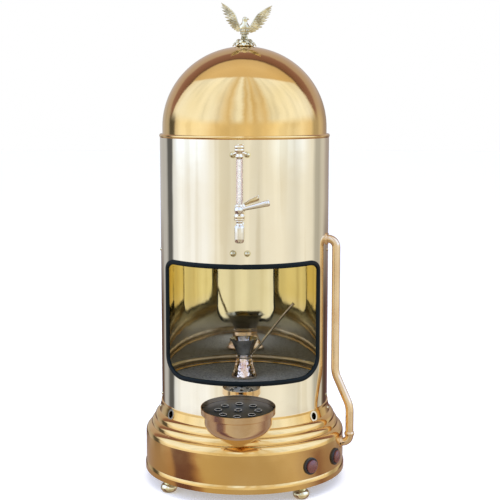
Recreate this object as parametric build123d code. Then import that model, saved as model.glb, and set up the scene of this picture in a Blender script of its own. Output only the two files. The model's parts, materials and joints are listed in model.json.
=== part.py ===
from build123d import *
import math
import os

# Tabletop ember coffee machine: a spun brass base on four knob feet, a polished cylindrical
# body with a rubber-edged hearth window, a water tank with gauge glass and lever tap above it,
# a lift-off dome with a spread-wing bird finial, a wiring conduit, a drip bowl and a coffee pot.
# Millimetres. +Z up, front is -Y, origin on the standing surface under the body's axis.
# Compass angles are in degrees from the front, positive towards +X.

# ---------------------------------------------------------------- driving dimensions
SHELL_R = 150.0  # outer radius of the cylindrical body
SHELL_WALL = 1.2
BODY_HEIGHT = 473.0  # the body from the base's top to its own top
SHELL_SOCKET = 25.4  # how far the body stands down inside the base
CUT = 10.0  # how far a cutter reaches past the wall it cuts

FOOT_HEIGHT = 24.0
FOOT_BALL_R = 14.5
FOOT_COLLAR_R = 10.5
FOOT_SOLE_R = 7.0
FOOT_INSET = 14.3  # from the skirt wall to the foot's axis
FOOT_CLOCK = -6.0  # the feet are turned this far from the diagonals
STUD_R = 3.0
STUD_CLEARANCE = 0.3
NUT_ACROSS_R = 5.8
NUT_HEIGHT = 5.0

BASE_HEIGHT = 123.4
LIP_DROP = 2.0  # the lip hangs below the base plate
BASE_WALL = 1.6
BASE_FLARE = 29.3  # skirt wall beyond the body
LIP_FLARE = 1.6  # bead beyond the skirt wall
NECK_HEIGHT = 4.0  # straight collar that hugs the body
BAND_HEIGHT = 13.4
BAND_FLARE = 3.4
STEP_1_HEIGHT = 13.5
STEP_1_FLARE = 8.0
STEP_2_HEIGHT = 11.5
STEP_2_FLARE = 6.5
SHOULDER_HEIGHT = 15.0
LIP_HEIGHT = 8.0
LIP_ROLL = 7.0  # height of the rolled bead above the lip
BASE_PLATE_WALL = 2.0
PLATE_SLOTS = 12
PLATE_SLOT_LENGTH = 30.0
PLATE_SLOT_WIDTH = 5.0
PLATE_SLOT_PLACE = 95.0

VENT_DROP = 10.4  # below the base's top
VENT_ANGLE = 54.5
VENT_HOLE_R = 6.3
VENT_BARREL_R = 7.4
VENT_FLANGE_R = 9.5
VENT_FLANGE = 1.1
VENT_BARREL_LENGTH = 9.0

SWITCH_RISE = 37.0  # above the base's bottom
SWITCH_ANGLES = (42.0, 65.3)
SWITCH_BEZEL_R = 15.0
SWITCH_BEZEL = 3.0
SWITCH_BARREL_R = 12.6
SWITCH_DEPTH = 26.0
SWITCH_FLOOR = 4.0
BUTTON_R = 11.2
BUTTON_CLEARANCE = 0.2
BUTTON_PROUD = 9.5
BUTTON_DOME = 3.5
BUTTON_SHANK = 14.0

GLAND_BORE_R = 4.0
GLAND_THREAD_R = 8.0
GLAND_HEX_R = 12.0
GLAND_LENGTH = 22.0
GLAND_HEX = 6.0
GLAND_CAP = 3.0
GLAND_TIP_R = 6.0

WINDOW_HALF_ANGLE = 61.6  # middle of the rubber edging
WINDOW_RISE = 60.2  # above the base's top
WINDOW_HEIGHT = 200.6
WINDOW_LOW_CORNER_R = 32.0
WINDOW_HIGH_CORNER_R = 15.0
TRIM_WIDTH = 9.0
TRIM_PROUD = 3.0
TRIM_INNER = 2.4

HEARTH_DROP = 27.6  # from the window sill to the top of the granular plate
HEARTH_PLATE = 4.0
HEARTH_GAP = 4.0  # height of the element space
HEARTH_INSULATION = 3.0
PAN_WALL = 1.2
PAN_RIM = 14.0  # above the granular plate
FIT_GAP = 0.3
ELEMENT_TUBE_R = 2.0
ELEMENT_RINGS = 3
ELEMENT_BAR = 4.0

SEAT_RING_WALL = 1.6
SEAT_RING_LEG = 15.0
SEAT_RING_SHELF = 9.0
SEAT_RING_SHELF_THICKNESS = 3.0
CEILING_WALL = 1.2

TANK_GAP = 9.0  # from the body's outside to the tank's outside
TANK_WALL = 1.5
TANK_RISE = 21.8  # above the window's head
TANK_TOP_DROP = 15.4  # below the body's top
TANK_RIM = 3.0
TANK_RING_R = 50.0
TANK_RING_TUBE_R = 4.0
TANK_RING_RISE = 22.0
TANK_PORT_R = 14.0
TANK_FLANGE_R = 22.0
TANK_FLANGE = 4.0
TERMINAL_DROP = 9.0
TERMINAL_SPACING = 16.0
PROBE_R = 3.0
PROBE_LENGTH = 48.0
PROBE_NUT_R = 7.0
PROBE_PLACE = (-60.0, 40.0)

GAUGE_REACH = 27.0  # gauge and tap axis in front of the body
GAUGE_TOP_DROP = 7.4  # below the body's top
GAUGE_CAP_R = 8.5
GAUGE_CAP_HEIGHT = 10.0
GAUGE_NECK_R = 4.4
GAUGE_STEM_DROP = 13.5  # below the gauge's top
GAUGE_STEM_R = 4.2
GLASS_R = 5.2
GLASS_BORE_R = 3.6
GLASS_DROP = 23.0  # below the gauge's top
TAP_SHARE = 78.0 / 175.0  # of the tank's height
TAP_COLUMN = 8.0  # from the tap's axis up to the glass
TAP_BARREL_R = 8.0
TAP_STEM_R = 6.0
TAP_WATERWAY_R = 2.5
TAP_PLUG_R = 3.5
PLUG_CLEARANCE = 0.05
TAP_COLLAR_R = 9.2
TAP_COLLAR_DROP = 18.0
TAP_COLLAR = 9.0
NOZZLE_NECK_R = 5.2
NOZZLE_R = 8.5
NOZZLE_NECK = 8.0
NOZZLE_LENGTH = 30.0
NOZZLE_BORE_R = 4.0
LEVER_HUB_R = 7.2
LEVER_OFFSET = 18.5  # hub in front of the tap's axis
LEVER_LENGTH = 46.5
LEVER_RISE = 14.0
LEVER_THIN_R = 3.0
LEVER_THICK_R = 5.5

CAP_NUT_SPACING = 24.0
CAP_NUT_DROP = 24.7  # upper pair, below the body's top
CAP_NUT_RISE = 0.9  # lower pair, above the tank's floor
CAP_NUT_R = 5.0
CAP_NUT_WASHER_R = 5.8
STRAP_WIDTH = 36.0
STRAP_WALL = 4.0
STRAP_END = 9.0

CONDUIT_ANGLE = 78.0
CONDUIT_R = 7.25
CONDUIT_WALL = 1.2
CONDUIT_RISE = 13.0  # top run above the tank's floor
CONDUIT_REACH = 17.0  # upright run beyond the body
CONDUIT_SLANT_RISE = 55.6  # above the base's top
CONDUIT_SLANT = 60.0
CONDUIT_LOW_REACH = 44.0  # lower run beyond the body
CONDUIT_ENTRY_RISE = 53.0  # above the base's bottom
CONDUIT_TOP_BEND = 14.5
CONDUIT_LOW_BEND = 12.5
CONDUIT_SLANT_BEND = 45.0
FERRULE_R = 11.0
FERRULE_THICKNESS = 3.0
COLLAR_R = 9.0
COLLAR_HEIGHT = 7.0

SCREW_ANGLES = (-80.0, 80.0, 180.0)
SCREW_HEAD_R = 3.4
SCREW_SHANK_R = 2.0
SCREW_HEAD = 2.0
SCREW_LENGTH = 4.0

BOWL_GAP = 14.2  # from the body to the bowl's wall
BOWL_RISE = 40.1  # rim above the base's top
BOWL_TILT = 3.5  # the bowl leans forward on its bracket
BOWL_RIM_FLARE = 5.6
BOWL_RIM_SLOPE = 3.36
BOWL_RIM_HEIGHT = 10.0
BOWL_BODY_R = 55.8
BOWL_WALL = 1.2
BOWL_DEPTH = 68.5
BOWL_STRAIGHT = 27.5
BOWL_KNEE = (12.8, 44.5)  # inset and depth where the bowl turns under
BOWL_THROAT = (26.8, 54.5)
BOWL_TIP_R = 12.0
STRAINER_GAP = 0.5
STRAINER_WALL = 1.5
STRAINER_HOLE_R = 5.0
STRAINER_HOLE_INSET = 22.8
STRAINER_HOLES = 8
STRAINER_RIM = 1.4
BRACKET_WIDTH = 30.0
BRACKET_BASE = 3.0
BRACKET_SLOT = 3.0
BRACKET_LIP = 2.0
BRACKET_RISE = 4.6  # above the base's top
BRACKET_HEIGHT = 22.0
BRACKET_WALL = 4.0
BRACKET_SCREW_GAP = 6.0
BRACKET_EAR = 5.0
BRACKET_SCREW_SHARE = 0.5
BRACKET_FLOOR = 4.0
HOOK_GAP = 0.5
HOOK_RISE = 6.0  # above the bracket
HOOK_INSET = 5.0
HOOK_WALL = 2.0

DOME_INSET = 4.5  # dome wall inside the body's outside
DOME_WALL = 1.2
DOME_STRAIGHT = 11.1  # wall from the seam bead to where the curve starts
DOME_RISE = 141.5
COLLAR_BEAD = 1.2
COLLAR_BEAD_HEIGHT = 6.5
SPIGOT_DEPTH = 14.0
SPIGOT_WALL = 2.0
SPIGOT_GAP = 0.5

FINIAL_BASE_R = 16.0
FINIAL_LEAVES = 8
FINIAL_LEAF_R = 6.0
FINIAL_BASE_HEIGHT = 9.0
BIRD_BODY_R = 8.5
BIRD_HEIGHT = 38.0
BIRD_HEAD_R = 4.8
WING_THICKNESS = 4.0

POT_CENTRE = (-2.0, 22.0)
POT_BASE_R = 24.0
POT_NECK_R = 14.0
POT_RIM_R = 25.0
POT_NECK_HEIGHT = 38.0
POT_HEIGHT = 72.0
POT_WALL = 1.2
POT_BEAD_R = 1.4
HANDLE_R = 2.1
HANDLE_FOOT = (2.0, -8.0, 8.0)  # out from the neck, sideways, above the neck
HANDLE_RUN = (76.0, -25.0, 98.0)

# ---------------------------------------------------------------- sizes that follow
BASE_BOTTOM_Z = FOOT_HEIGHT - LIP_DROP
BASE_TOP_Z = BASE_BOTTOM_Z + BASE_HEIGHT
SHELL_BOTTOM_Z = BASE_TOP_Z - SHELL_SOCKET
SHELL_TOP_Z = BASE_TOP_Z + BODY_HEIGHT
VENT_Z = BASE_TOP_Z - VENT_DROP
SWITCH_Z = BASE_BOTTOM_Z + SWITCH_RISE
WINDOW_SILL_Z = BASE_TOP_Z + WINDOW_RISE
WINDOW_HEAD_Z = WINDOW_SILL_Z + WINDOW_HEIGHT
HEARTH_Z = WINDOW_SILL_Z - HEARTH_DROP
PAN_RIM_Z = HEARTH_Z + PAN_RIM
TANK_BOTTOM_Z = WINDOW_HEAD_Z + TANK_RISE
TANK_TOP_Z = SHELL_TOP_Z - TANK_TOP_DROP
GAUGE_TOP_Z = SHELL_TOP_Z - GAUGE_TOP_DROP
GAUGE_STEM_Z = GAUGE_TOP_Z - GAUGE_STEM_DROP
GLASS_TOP_Z = GAUGE_TOP_Z - GLASS_DROP
TAP_Z = TANK_BOTTOM_Z + TAP_SHARE * (TANK_TOP_Z - TANK_BOTTOM_Z)
GLASS_BOTTOM_Z = TAP_Z + TAP_COLUMN
TAP_COLLAR_BOTTOM_Z = TAP_Z - TAP_COLLAR_DROP
TAP_COLLAR_TOP_Z = TAP_COLLAR_BOTTOM_Z + TAP_COLLAR
NOZZLE_TOP_Z = TAP_COLLAR_BOTTOM_Z - NOZZLE_NECK
NOZZLE_BOTTOM_Z = NOZZLE_TOP_Z - NOZZLE_LENGTH
CAP_NUT_ZS = (SHELL_TOP_Z - CAP_NUT_DROP, TANK_BOTTOM_Z + CAP_NUT_RISE)
CONDUIT_TOP_Z = TANK_BOTTOM_Z + CONDUIT_RISE
CONDUIT_SLANT_TOP_Z = BASE_TOP_Z + CONDUIT_SLANT_RISE
CONDUIT_SLANT_LOW_Z = CONDUIT_SLANT_TOP_Z - CONDUIT_SLANT
CONDUIT_ENTRY_Z = BASE_BOTTOM_Z + CONDUIT_ENTRY_RISE
BOWL_RIM_Z = BASE_TOP_Z + BOWL_RISE
BOWL_RIM_R = BOWL_BODY_R + BOWL_RIM_FLARE
BRACKET_LOW_Z = BASE_TOP_Z + BRACKET_RISE
BRACKET_TOP_Z = BRACKET_LOW_Z + BRACKET_HEIGHT
BRACKET_SCREW_Z = BRACKET_LOW_Z + BRACKET_SCREW_SHARE * BRACKET_HEIGHT
BRACKET_SCREW_X = BRACKET_WIDTH / 2 + BRACKET_SCREW_GAP
HOOK_TOP_Z = BRACKET_TOP_Z + HOOK_RISE
SEAM_TOP_Z = SHELL_TOP_Z + COLLAR_BEAD_HEIGHT
DOME_SPRING_Z = SEAM_TOP_Z + DOME_STRAIGHT
SKIRT_R = SHELL_R + BASE_FLARE
SKIRT_INNER_R = SKIRT_R - BASE_WALL
LIP_INNER_R = SKIRT_R + LIP_FLARE - BASE_WALL
SHELL_INNER_R = SHELL_R - SHELL_WALL
TANK_R = SHELL_R - TANK_GAP
DOME_R = SHELL_R - DOME_INSET
DOME_TOP_Z = DOME_SPRING_Z + DOME_RISE
FOOT_CIRCLE_R = SKIRT_R - FOOT_INSET
FOOT_ANGLES = [FOOT_CLOCK + 45 + 90 * k for k in range(4)]
PLATE_Z = FOOT_HEIGHT
PLATE_TOP_Z = PLATE_Z + BASE_PLATE_WALL
VENT_ANGLES = (VENT_ANGLE, 180 - VENT_ANGLE, VENT_ANGLE - 180, -VENT_ANGLE)
NECK_BOTTOM_Z = BASE_TOP_Z - NECK_HEIGHT
VENT_TILT = math.degrees(math.atan2(BAND_FLARE, BAND_HEIGHT))
VENT_R = SHELL_R + BASE_WALL + (NECK_BOTTOM_Z - VENT_Z) * BAND_FLARE / BAND_HEIGHT
PAN_Z = HEARTH_Z - HEARTH_PLATE - HEARTH_GAP - HEARTH_INSULATION - PAN_WALL
PAN_R = SHELL_INNER_R - FIT_GAP
CEILING_Z = TANK_BOTTOM_Z - SEAT_RING_LEG - CEILING_WALL
AXIS_Y = -(SHELL_R + GAUGE_REACH)
HUB_Y = AXIS_Y - LEVER_OFFSET
BOWL_Y = -(SHELL_R + BOWL_GAP + BOWL_BODY_R)
NODES = {}


# ---------------------------------------------------------------- helpers
def node(name):
    """Keep what the function returns as the sub-part called name."""

    def keep(build):
        NODES[name] = build()
        return build

    return keep


def rod(radius, low, high):
    return Pos(0, 0, low) * Cylinder(radius, high - low, align=(Align.CENTER, Align.CENTER, Align.MIN))


def tube(outer, inner, low, high):
    return rod(outer, low, high) - rod(inner, low - 1, high + 1)


def block(x_range, y_range, z_range):
    low = Vector(x_range[0], y_range[0], z_range[0])
    high = Vector(x_range[1], y_range[1], z_range[1])
    size = high - low
    middle = (low + high) * 0.5
    return Pos(middle.X, middle.Y, middle.Z) * Box(size.X, size.Y, size.Z)


def hexagon(radius, low, high):
    return Pos(0, 0, low) * extrude(RegularPolygon(radius, 6), high - low)


def chain(start, steps):
    """Edges from start; a step is an end point, or (middle point, end point) for an arc."""
    edges = []
    here = start
    for step in steps:
        if isinstance(step[0], tuple):
            middle, end = step
            edges.append(ThreePointArc(here, middle, end))
        else:
            end = step
            edges.append(Line(here, end))
        here = end
    return edges, here


def spun(start, *steps):
    """Solid of revolution about Z: the closed outline of (radius, height) points."""
    edges, here = chain(start, steps)
    if here != start:
        edges.append(Line(here, start))
    return revolve(Plane.XZ * make_face(edges), Axis.Z)


def spun_sheet(wall, start, *steps):
    """Solid of revolution from an outer run and the same run moved in by the wall."""
    outer, end = chain(start, steps)
    inner, inner_end = chain((start[0] - wall, start[1]), [shifted(step, wall) for step in steps])
    ends = [Line(start, (start[0] - wall, start[1])), Line(end, inner_end)]
    return revolve(Plane.XZ * make_face(outer + inner + ends), Axis.Z)


def cap(radius, base, top):
    """Arc step for a profile: a spherical cap from (radius, base) up to (0, top) on the axis."""
    rise = top - base
    sphere_r = (radius**2 + rise**2) / (2 * rise)
    half = math.asin(radius / sphere_r) / 2
    return (sphere_r * math.sin(half), top - sphere_r * (1 - math.cos(half))), (0, top)


def screw(length):
    """Dome-headed screw about Z, its seat at zero and its shank below."""
    head = spun((0, 0), (SCREW_HEAD_R, 0), cap(SCREW_HEAD_R, 0, SCREW_HEAD))
    return head + rod(SCREW_SHANK_R, -length, 0)


def shifted(step, wall):
    if isinstance(step[0], tuple):
        return tuple((radius - wall, height) for radius, height in step)
    return (step[0] - wall, step[1])


def radial(angle, distance, height, tilt=0.0):
    """Plane on the body at a compass angle: local Z outwards, raised by tilt, local Y up."""
    turn = math.radians(angle)
    rise = math.radians(tilt)
    out = (math.sin(turn), -math.cos(turn))
    return Plane(
        origin=(distance * out[0], distance * out[1], height),
        x_dir=(-out[1], out[0], 0),
        z_dir=(out[0] * math.cos(rise), out[1] * math.cos(rise), math.sin(rise)),
    )


def upright(angle):
    """Plane through the axis at a compass angle: local X outwards, local Y up."""
    turn = math.radians(angle)
    return Plane(
        origin=(0, 0, 0),
        x_dir=(math.sin(turn), -math.cos(turn), 0),
        z_dir=(-math.cos(turn), -math.sin(turn), 0),
    )


def at_foot(angle):
    turn = math.radians(angle)
    return Pos(FOOT_CIRCLE_R * math.sin(turn), -FOOT_CIRCLE_R * math.cos(turn), 0)


def front_window(half_angle_shift, height_shift, corner_shift):
    """Prism along -Y of the window outline, grown outwards by the shifts."""
    grown = math.radians(WINDOW_HALF_ANGLE) + half_angle_shift / SHELL_R
    half_width = SHELL_R * math.sin(grown)
    low = WINDOW_SILL_Z - height_shift
    high = WINDOW_HEAD_Z + height_shift
    outline = Pos(0, (low + high) / 2) * Rectangle(2 * half_width, high - low)
    rows = outline.vertices().group_by(Axis.Y)
    outline = fillet(rows[0], WINDOW_LOW_CORNER_R + corner_shift)
    rows = outline.vertices().group_by(Axis.Y)
    outline = fillet(rows[-1], WINDOW_HIGH_CORNER_R + corner_shift)
    return extrude(Plane.XZ * outline, SHELL_R + BASE_FLARE)


def shell_screw_places():
    """Compass angle, height, seat radius and tilt of every small dome-headed body screw."""
    for angle in SCREW_ANGLES:
        yield angle, VENT_Z, VENT_R, VENT_TILT
        yield angle, PAN_Z - SEAT_RING_LEG / 2, SHELL_R, 0
        yield angle, TANK_BOTTOM_Z - SEAT_RING_LEG / 2, SHELL_R, 0


def cap_nut_places():
    for height in CAP_NUT_ZS:
        for side in (-0.5, 0.5):
            yield side * CAP_NUT_SPACING, height


def along_front(x, z, radius, near, far):
    """Rod along Y in front of the axis, from y = -near to y = -far."""
    return Plane(origin=(x, -near, z), x_dir=(1, 0, 0), z_dir=(0, -1, 0)) * rod(radius, 0, far - near)


# ---------------------------------------------------------------- base
@node("base_skirt")
def base_skirt():
    neck_r = SHELL_R + BASE_WALL
    band_r = neck_r + BAND_FLARE
    band_z = NECK_BOTTOM_Z - BAND_HEIGHT
    step_1 = (band_r + STEP_1_FLARE, band_z - STEP_1_HEIGHT)
    step_2 = (step_1[0] + STEP_2_FLARE, step_1[1] - STEP_2_HEIGHT)
    bulge = 0.68  # how full the rolled steps are
    middle_1 = (band_r + bulge * STEP_1_FLARE, band_z - (1 - bulge) * STEP_1_HEIGHT)
    middle_2 = (step_1[0] + bulge * STEP_2_FLARE, step_1[1] - (1 - bulge) * STEP_2_HEIGHT)
    shoulder = (SKIRT_R, step_2[1] - SHOULDER_HEIGHT)
    over = (step_2[0] + bulge * (SKIRT_R - step_2[0]), step_2[1] - (1 - bulge) * SHOULDER_HEIGHT)
    lip_r = SKIRT_R + LIP_FLARE
    bead_z = BASE_BOTTOM_Z + LIP_HEIGHT + LIP_ROLL
    skirt = spun_sheet(
        BASE_WALL,
        (neck_r, BASE_TOP_Z),
        (neck_r, NECK_BOTTOM_Z),
        (band_r, band_z),
        (middle_1, step_1),
        (middle_2, step_2),
        (over, shoulder),
        (SKIRT_R, bead_z),
        ((SKIRT_R + 0.75 * LIP_FLARE, bead_z - 0.43 * LIP_ROLL), (lip_r, bead_z - LIP_ROLL)),
        (lip_r, BASE_BOTTOM_Z),
    )
    for angle in VENT_ANGLES:
        skirt -= radial(angle, VENT_R, VENT_Z, VENT_TILT) * rod(VENT_BARREL_R, -CUT, CUT)
    for angle in SWITCH_ANGLES:
        skirt -= radial(angle, SKIRT_R, SWITCH_Z) * rod(SWITCH_BARREL_R, -CUT, CUT)
    skirt -= radial(180, SKIRT_R, SWITCH_Z) * rod(GLAND_THREAD_R, -CUT, CUT)
    skirt -= radial(CONDUIT_ANGLE, SKIRT_R, CONDUIT_ENTRY_Z) * rod(CONDUIT_R, -CUT, CUT)
    for angle in SCREW_ANGLES:
        skirt -= radial(angle, VENT_R, VENT_Z, VENT_TILT) * rod(SCREW_SHANK_R, -CUT, CUT)
    return skirt


@node("base_plate")
def base_plate():
    plate = rod(LIP_INNER_R, PLATE_Z, PLATE_TOP_Z)
    for angle in FOOT_ANGLES:
        plate -= at_foot(angle) * rod(STUD_R + STUD_CLEARANCE, 0, 2 * FOOT_HEIGHT)
    for k in range(PLATE_SLOTS):
        slot = Pos(0, 0, PLATE_Z) * Box(PLATE_SLOT_LENGTH, PLATE_SLOT_WIDTH, 4 * BASE_PLATE_WALL)
        plate -= Rot(0, 0, 360 * k / PLATE_SLOTS) * Pos(PLATE_SLOT_PLACE, 0, 0) * slot
    return plate


def foot():
    knob = spun(
        (0, 0),
        (FOOT_SOLE_R, 0),
        ((FOOT_BALL_R, 0.36 * FOOT_HEIGHT), (0.62 * FOOT_BALL_R, 0.68 * FOOT_HEIGHT)),
        (FOOT_COLLAR_R, 0.8 * FOOT_HEIGHT),
        (FOOT_COLLAR_R, FOOT_HEIGHT),
        (0, FOOT_HEIGHT),
    )
    return knob + rod(STUD_R, FOOT_HEIGHT, PLATE_TOP_Z + NUT_HEIGHT + 2)


for index, angle in enumerate(FOOT_ANGLES):
    NODES[f"foot_{index}"] = at_foot(angle) * foot()


@node("foot_nuts")
def foot_nuts():
    nut = hexagon(NUT_ACROSS_R, PLATE_TOP_Z, PLATE_TOP_Z + NUT_HEIGHT) - rod(STUD_R, 0, 2 * FOOT_HEIGHT)
    return Compound(children=[at_foot(angle) * nut for angle in FOOT_ANGLES])


def vent_eyelet(angle):
    place = radial(angle, VENT_R, VENT_Z, VENT_TILT)
    eyelet = rod(VENT_FLANGE_R, -0.6, VENT_FLANGE) + rod(VENT_BARREL_R, -VENT_BARREL_LENGTH, 0)
    eyelet -= rod(VENT_HOLE_R, -2 * VENT_BARREL_LENGTH, 2 * VENT_FLANGE)
    eyelet = place * eyelet - NODES["base_skirt"]
    return eyelet.solids().sort_by(SortBy.VOLUME)[-1]


for index, angle in enumerate(VENT_ANGLES):
    NODES[f"vent_eyelet_{index}"] = vent_eyelet(angle)


def switch_body(angle):
    bore_r = BUTTON_R + BUTTON_CLEARANCE
    bezel = rod(SWITCH_BEZEL_R, -2, SWITCH_BEZEL)
    bezel = fillet(bezel.edges().sort_by(Axis.Z)[-1], 1.2)
    bezel = radial(angle, SKIRT_R, SWITCH_Z) * bezel - rod(SKIRT_R, BASE_BOTTOM_Z, SHELL_BOTTOM_Z)
    barrel = rod(SWITCH_BARREL_R, -SWITCH_DEPTH, 0)
    body = bezel + radial(angle, SKIRT_R, SWITCH_Z) * barrel
    return body - radial(angle, SKIRT_R, SWITCH_Z) * rod(bore_r, SWITCH_FLOOR - SWITCH_DEPTH, SWITCH_DEPTH)


def switch_button(angle):
    shoulder = BUTTON_PROUD - BUTTON_DOME
    button = spun(
        (0, -BUTTON_SHANK),
        (BUTTON_R, -BUTTON_SHANK),
        (BUTTON_R, shoulder),
        cap(BUTTON_R, shoulder, BUTTON_PROUD),
    )
    return radial(angle, SKIRT_R, SWITCH_Z) * button


for index, angle in enumerate(SWITCH_ANGLES):
    NODES[f"switch_body_{index}"] = switch_body(angle)
    NODES[f"switch_button_{index}"] = switch_button(angle)


@node("cord_gland")
def cord_gland():
    place = radial(180, SKIRT_R, SWITCH_Z)
    hex_nut = place * hexagon(GLAND_HEX_R, -1, GLAND_HEX) - rod(SKIRT_R, BASE_BOTTOM_Z, SHELL_BOTTOM_Z)
    cap_r = 0.86 * GLAND_HEX_R
    cone = spun(
        (0, GLAND_HEX),
        (cap_r, GLAND_HEX),
        (cap_r, GLAND_HEX + GLAND_CAP),
        (GLAND_TIP_R, GLAND_LENGTH),
        (0, GLAND_LENGTH),
    )
    body = hex_nut + place * (rod(GLAND_THREAD_R, -12, 1) + cone)
    return body - place * rod(GLAND_BORE_R, -20, GLAND_LENGTH + 1)


@node("terminal_block")
def terminal_block():
    body = block((-35, 35), (90, 112), (PLATE_TOP_Z, PLATE_TOP_Z + 18))
    for k in range(6):
        body -= Pos(12.0 * k - 30, 101, 0) * rod(2.5, PLATE_TOP_Z + 10, PLATE_TOP_Z + 30)
    return body


# ---------------------------------------------------------------- body
@node("outer_shell")
def outer_shell():
    shell = tube(SHELL_R, SHELL_INNER_R, SHELL_BOTTOM_Z, SHELL_TOP_Z)
    shell -= front_window(0, 0, 0)
    for angle in VENT_ANGLES:
        shell -= radial(angle, VENT_R, VENT_Z, VENT_TILT) * rod(VENT_BARREL_R + FIT_GAP, -2 * CUT, CUT)
    shell -= radial(CONDUIT_ANGLE, SHELL_R, CONDUIT_TOP_Z) * rod(CONDUIT_R, -2 * CUT, CUT)
    for x, z in cap_nut_places():
        shell -= along_front(x, z, STUD_R + STUD_CLEARANCE, TANK_R, SHELL_R + CUT)
    shell -= along_front(0, GAUGE_STEM_Z, GAUGE_STEM_R, TANK_R, SHELL_R + CUT)
    shell -= along_front(0, TAP_Z, TAP_STEM_R, TANK_R, SHELL_R + CUT)
    for angle, height, seat, tilt in shell_screw_places():
        shell -= radial(angle, seat, height, tilt) * rod(SCREW_SHANK_R, -CUT, CUT)
    for x in (-BRACKET_SCREW_X, BRACKET_SCREW_X):
        shell -= along_front(x, BRACKET_SCREW_Z, SCREW_SHANK_R, TANK_R, SHELL_R + CUT)
    return shell


@node("window_trim")
def window_trim():
    half = TRIM_WIDTH / 2
    band = tube(SHELL_R + TRIM_PROUD, SHELL_INNER_R - TRIM_INNER, SHELL_BOTTOM_Z, SHELL_TOP_Z)
    frame = front_window(half, half, half / 2) - front_window(-half, -half, -half / 2)
    return (band & frame) - NODES["outer_shell"]


@node("shell_screws")
def shell_screws():
    screws = []
    for angle, height, seat, tilt in shell_screw_places():
        screws.append(radial(angle, seat, height, tilt) * screw(SCREW_LENGTH))
    return Compound(children=screws)


@node("shell_seat_ring")
def shell_seat_ring():
    step_r = SHELL_R + BASE_WALL + BAND_FLARE
    return tube(step_r - BASE_WALL, SHELL_R - 12, SHELL_BOTTOM_Z - 3, SHELL_BOTTOM_Z)


def seat_ring(top):
    """Angle ring screwed inside the body, its shelf's top face at top."""
    leg = tube(SHELL_INNER_R, SHELL_INNER_R - SEAT_RING_WALL, top - SEAT_RING_LEG, top)
    shelf = tube(SHELL_INNER_R, SHELL_INNER_R - SEAT_RING_SHELF, top - SEAT_RING_SHELF_THICKNESS, top)
    ring = leg + shelf
    for angle in SCREW_ANGLES:
        ring -= radial(angle, SHELL_R, top - SEAT_RING_LEG / 2) * rod(SCREW_SHANK_R, -CUT, CUT)
    return ring


def bracket_screw_holes():
    places = (-BRACKET_SCREW_X, BRACKET_SCREW_X)
    return [along_front(x, BRACKET_SCREW_Z, SCREW_SHANK_R, TANK_R, SHELL_R + 2 * CUT) for x in places]


NODES["hearth_seat_ring"] = seat_ring(PAN_Z) - bracket_screw_holes()
NODES["tank_seat_ring"] = seat_ring(TANK_BOTTOM_Z)


# ---------------------------------------------------------------- hearth
@node("hearth_pan")
def hearth_pan():
    return rod(PAN_R, PAN_Z, PAN_RIM_Z) - rod(PAN_R - PAN_WALL, PAN_Z + PAN_WALL, PAN_RIM_Z + 1)


@node("hearth_insulation")
def hearth_insulation():
    low = PAN_Z + PAN_WALL
    return rod(PAN_R - PAN_WALL - FIT_GAP, low, low + HEARTH_INSULATION)


@node("hearth_element")
def hearth_element():
    middle = HEARTH_Z - HEARTH_PLATE - HEARTH_GAP / 2
    span = 0.8 * SHELL_R
    radii = [span * (k + 1) / ELEMENT_RINGS for k in range(ELEMENT_RINGS)]
    rings = [Pos(0, 0, middle) * Torus(radius, ELEMENT_TUBE_R) for radius in radii]
    bar = Pos(0, 0, middle) * Box(2 * span, ELEMENT_BAR, ELEMENT_BAR / 2)
    bars = [Rot(0, 0, 90 * k) * bar for k in range(2)]
    return rings[0] + rings[1:] + bars


@node("hearth_plate")
def hearth_plate():
    return rod(PAN_R - PAN_WALL - FIT_GAP, HEARTH_Z - HEARTH_PLATE, HEARTH_Z)


@node("chamber_ceiling")
def chamber_ceiling():
    return rod(SHELL_INNER_R - FIT_GAP, CEILING_Z, CEILING_Z + CEILING_WALL)


# ---------------------------------------------------------------- tank
@node("water_tank")
def water_tank():
    tank = rod(TANK_R, TANK_BOTTOM_Z, TANK_TOP_Z)
    tank += rod(TANK_R + TANK_RIM, TANK_TOP_Z - TANK_WALL, TANK_TOP_Z)
    tank -= rod(TANK_R - TANK_WALL, TANK_BOTTOM_Z + TANK_WALL, TANK_TOP_Z + 1)
    tank -= along_front(0, TAP_Z, TAP_STEM_R, TANK_R - 20, TANK_R + 20)
    tank -= Pos(0, TANK_RING_R, 0) * rod(TANK_PORT_R, TANK_BOTTOM_Z - CUT, TANK_BOTTOM_Z + CUT)
    tank -= Pos(*PROBE_PLACE, 0) * rod(PROBE_R, TANK_BOTTOM_Z - CUT, TANK_BOTTOM_Z + CUT)
    return tank


@node("tank_heater")
def tank_heater():
    floor = TANK_BOTTOM_Z + TANK_WALL
    ring = Pos(0, 0, floor + TANK_RING_RISE) * Torus(TANK_RING_R, TANK_RING_TUBE_R)
    plug = rod(TANK_PORT_R, TANK_BOTTOM_Z - TANK_FLANGE, floor)
    flange = Pos(0, TANK_RING_R, 0) * (rod(TANK_FLANGE_R, floor, floor + TANK_FLANGE) + plug)
    leg = rod(0.8 * TANK_RING_TUBE_R, TANK_BOTTOM_Z - TERMINAL_DROP, floor + TANK_RING_RISE)
    legs = [Pos(side * TERMINAL_SPACING / 2, TANK_RING_R - 1, 0) * leg for side in (-1, 1)]
    return ring + [flange] + legs


@node("tank_probe")
def tank_probe():
    floor = TANK_BOTTOM_Z + TANK_WALL
    probe = rod(PROBE_R, TANK_BOTTOM_Z - TERMINAL_DROP, floor + PROBE_LENGTH)
    return Pos(*PROBE_PLACE, 0) * (probe + hexagon(PROBE_NUT_R, floor, floor + NUT_HEIGHT))


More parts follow.
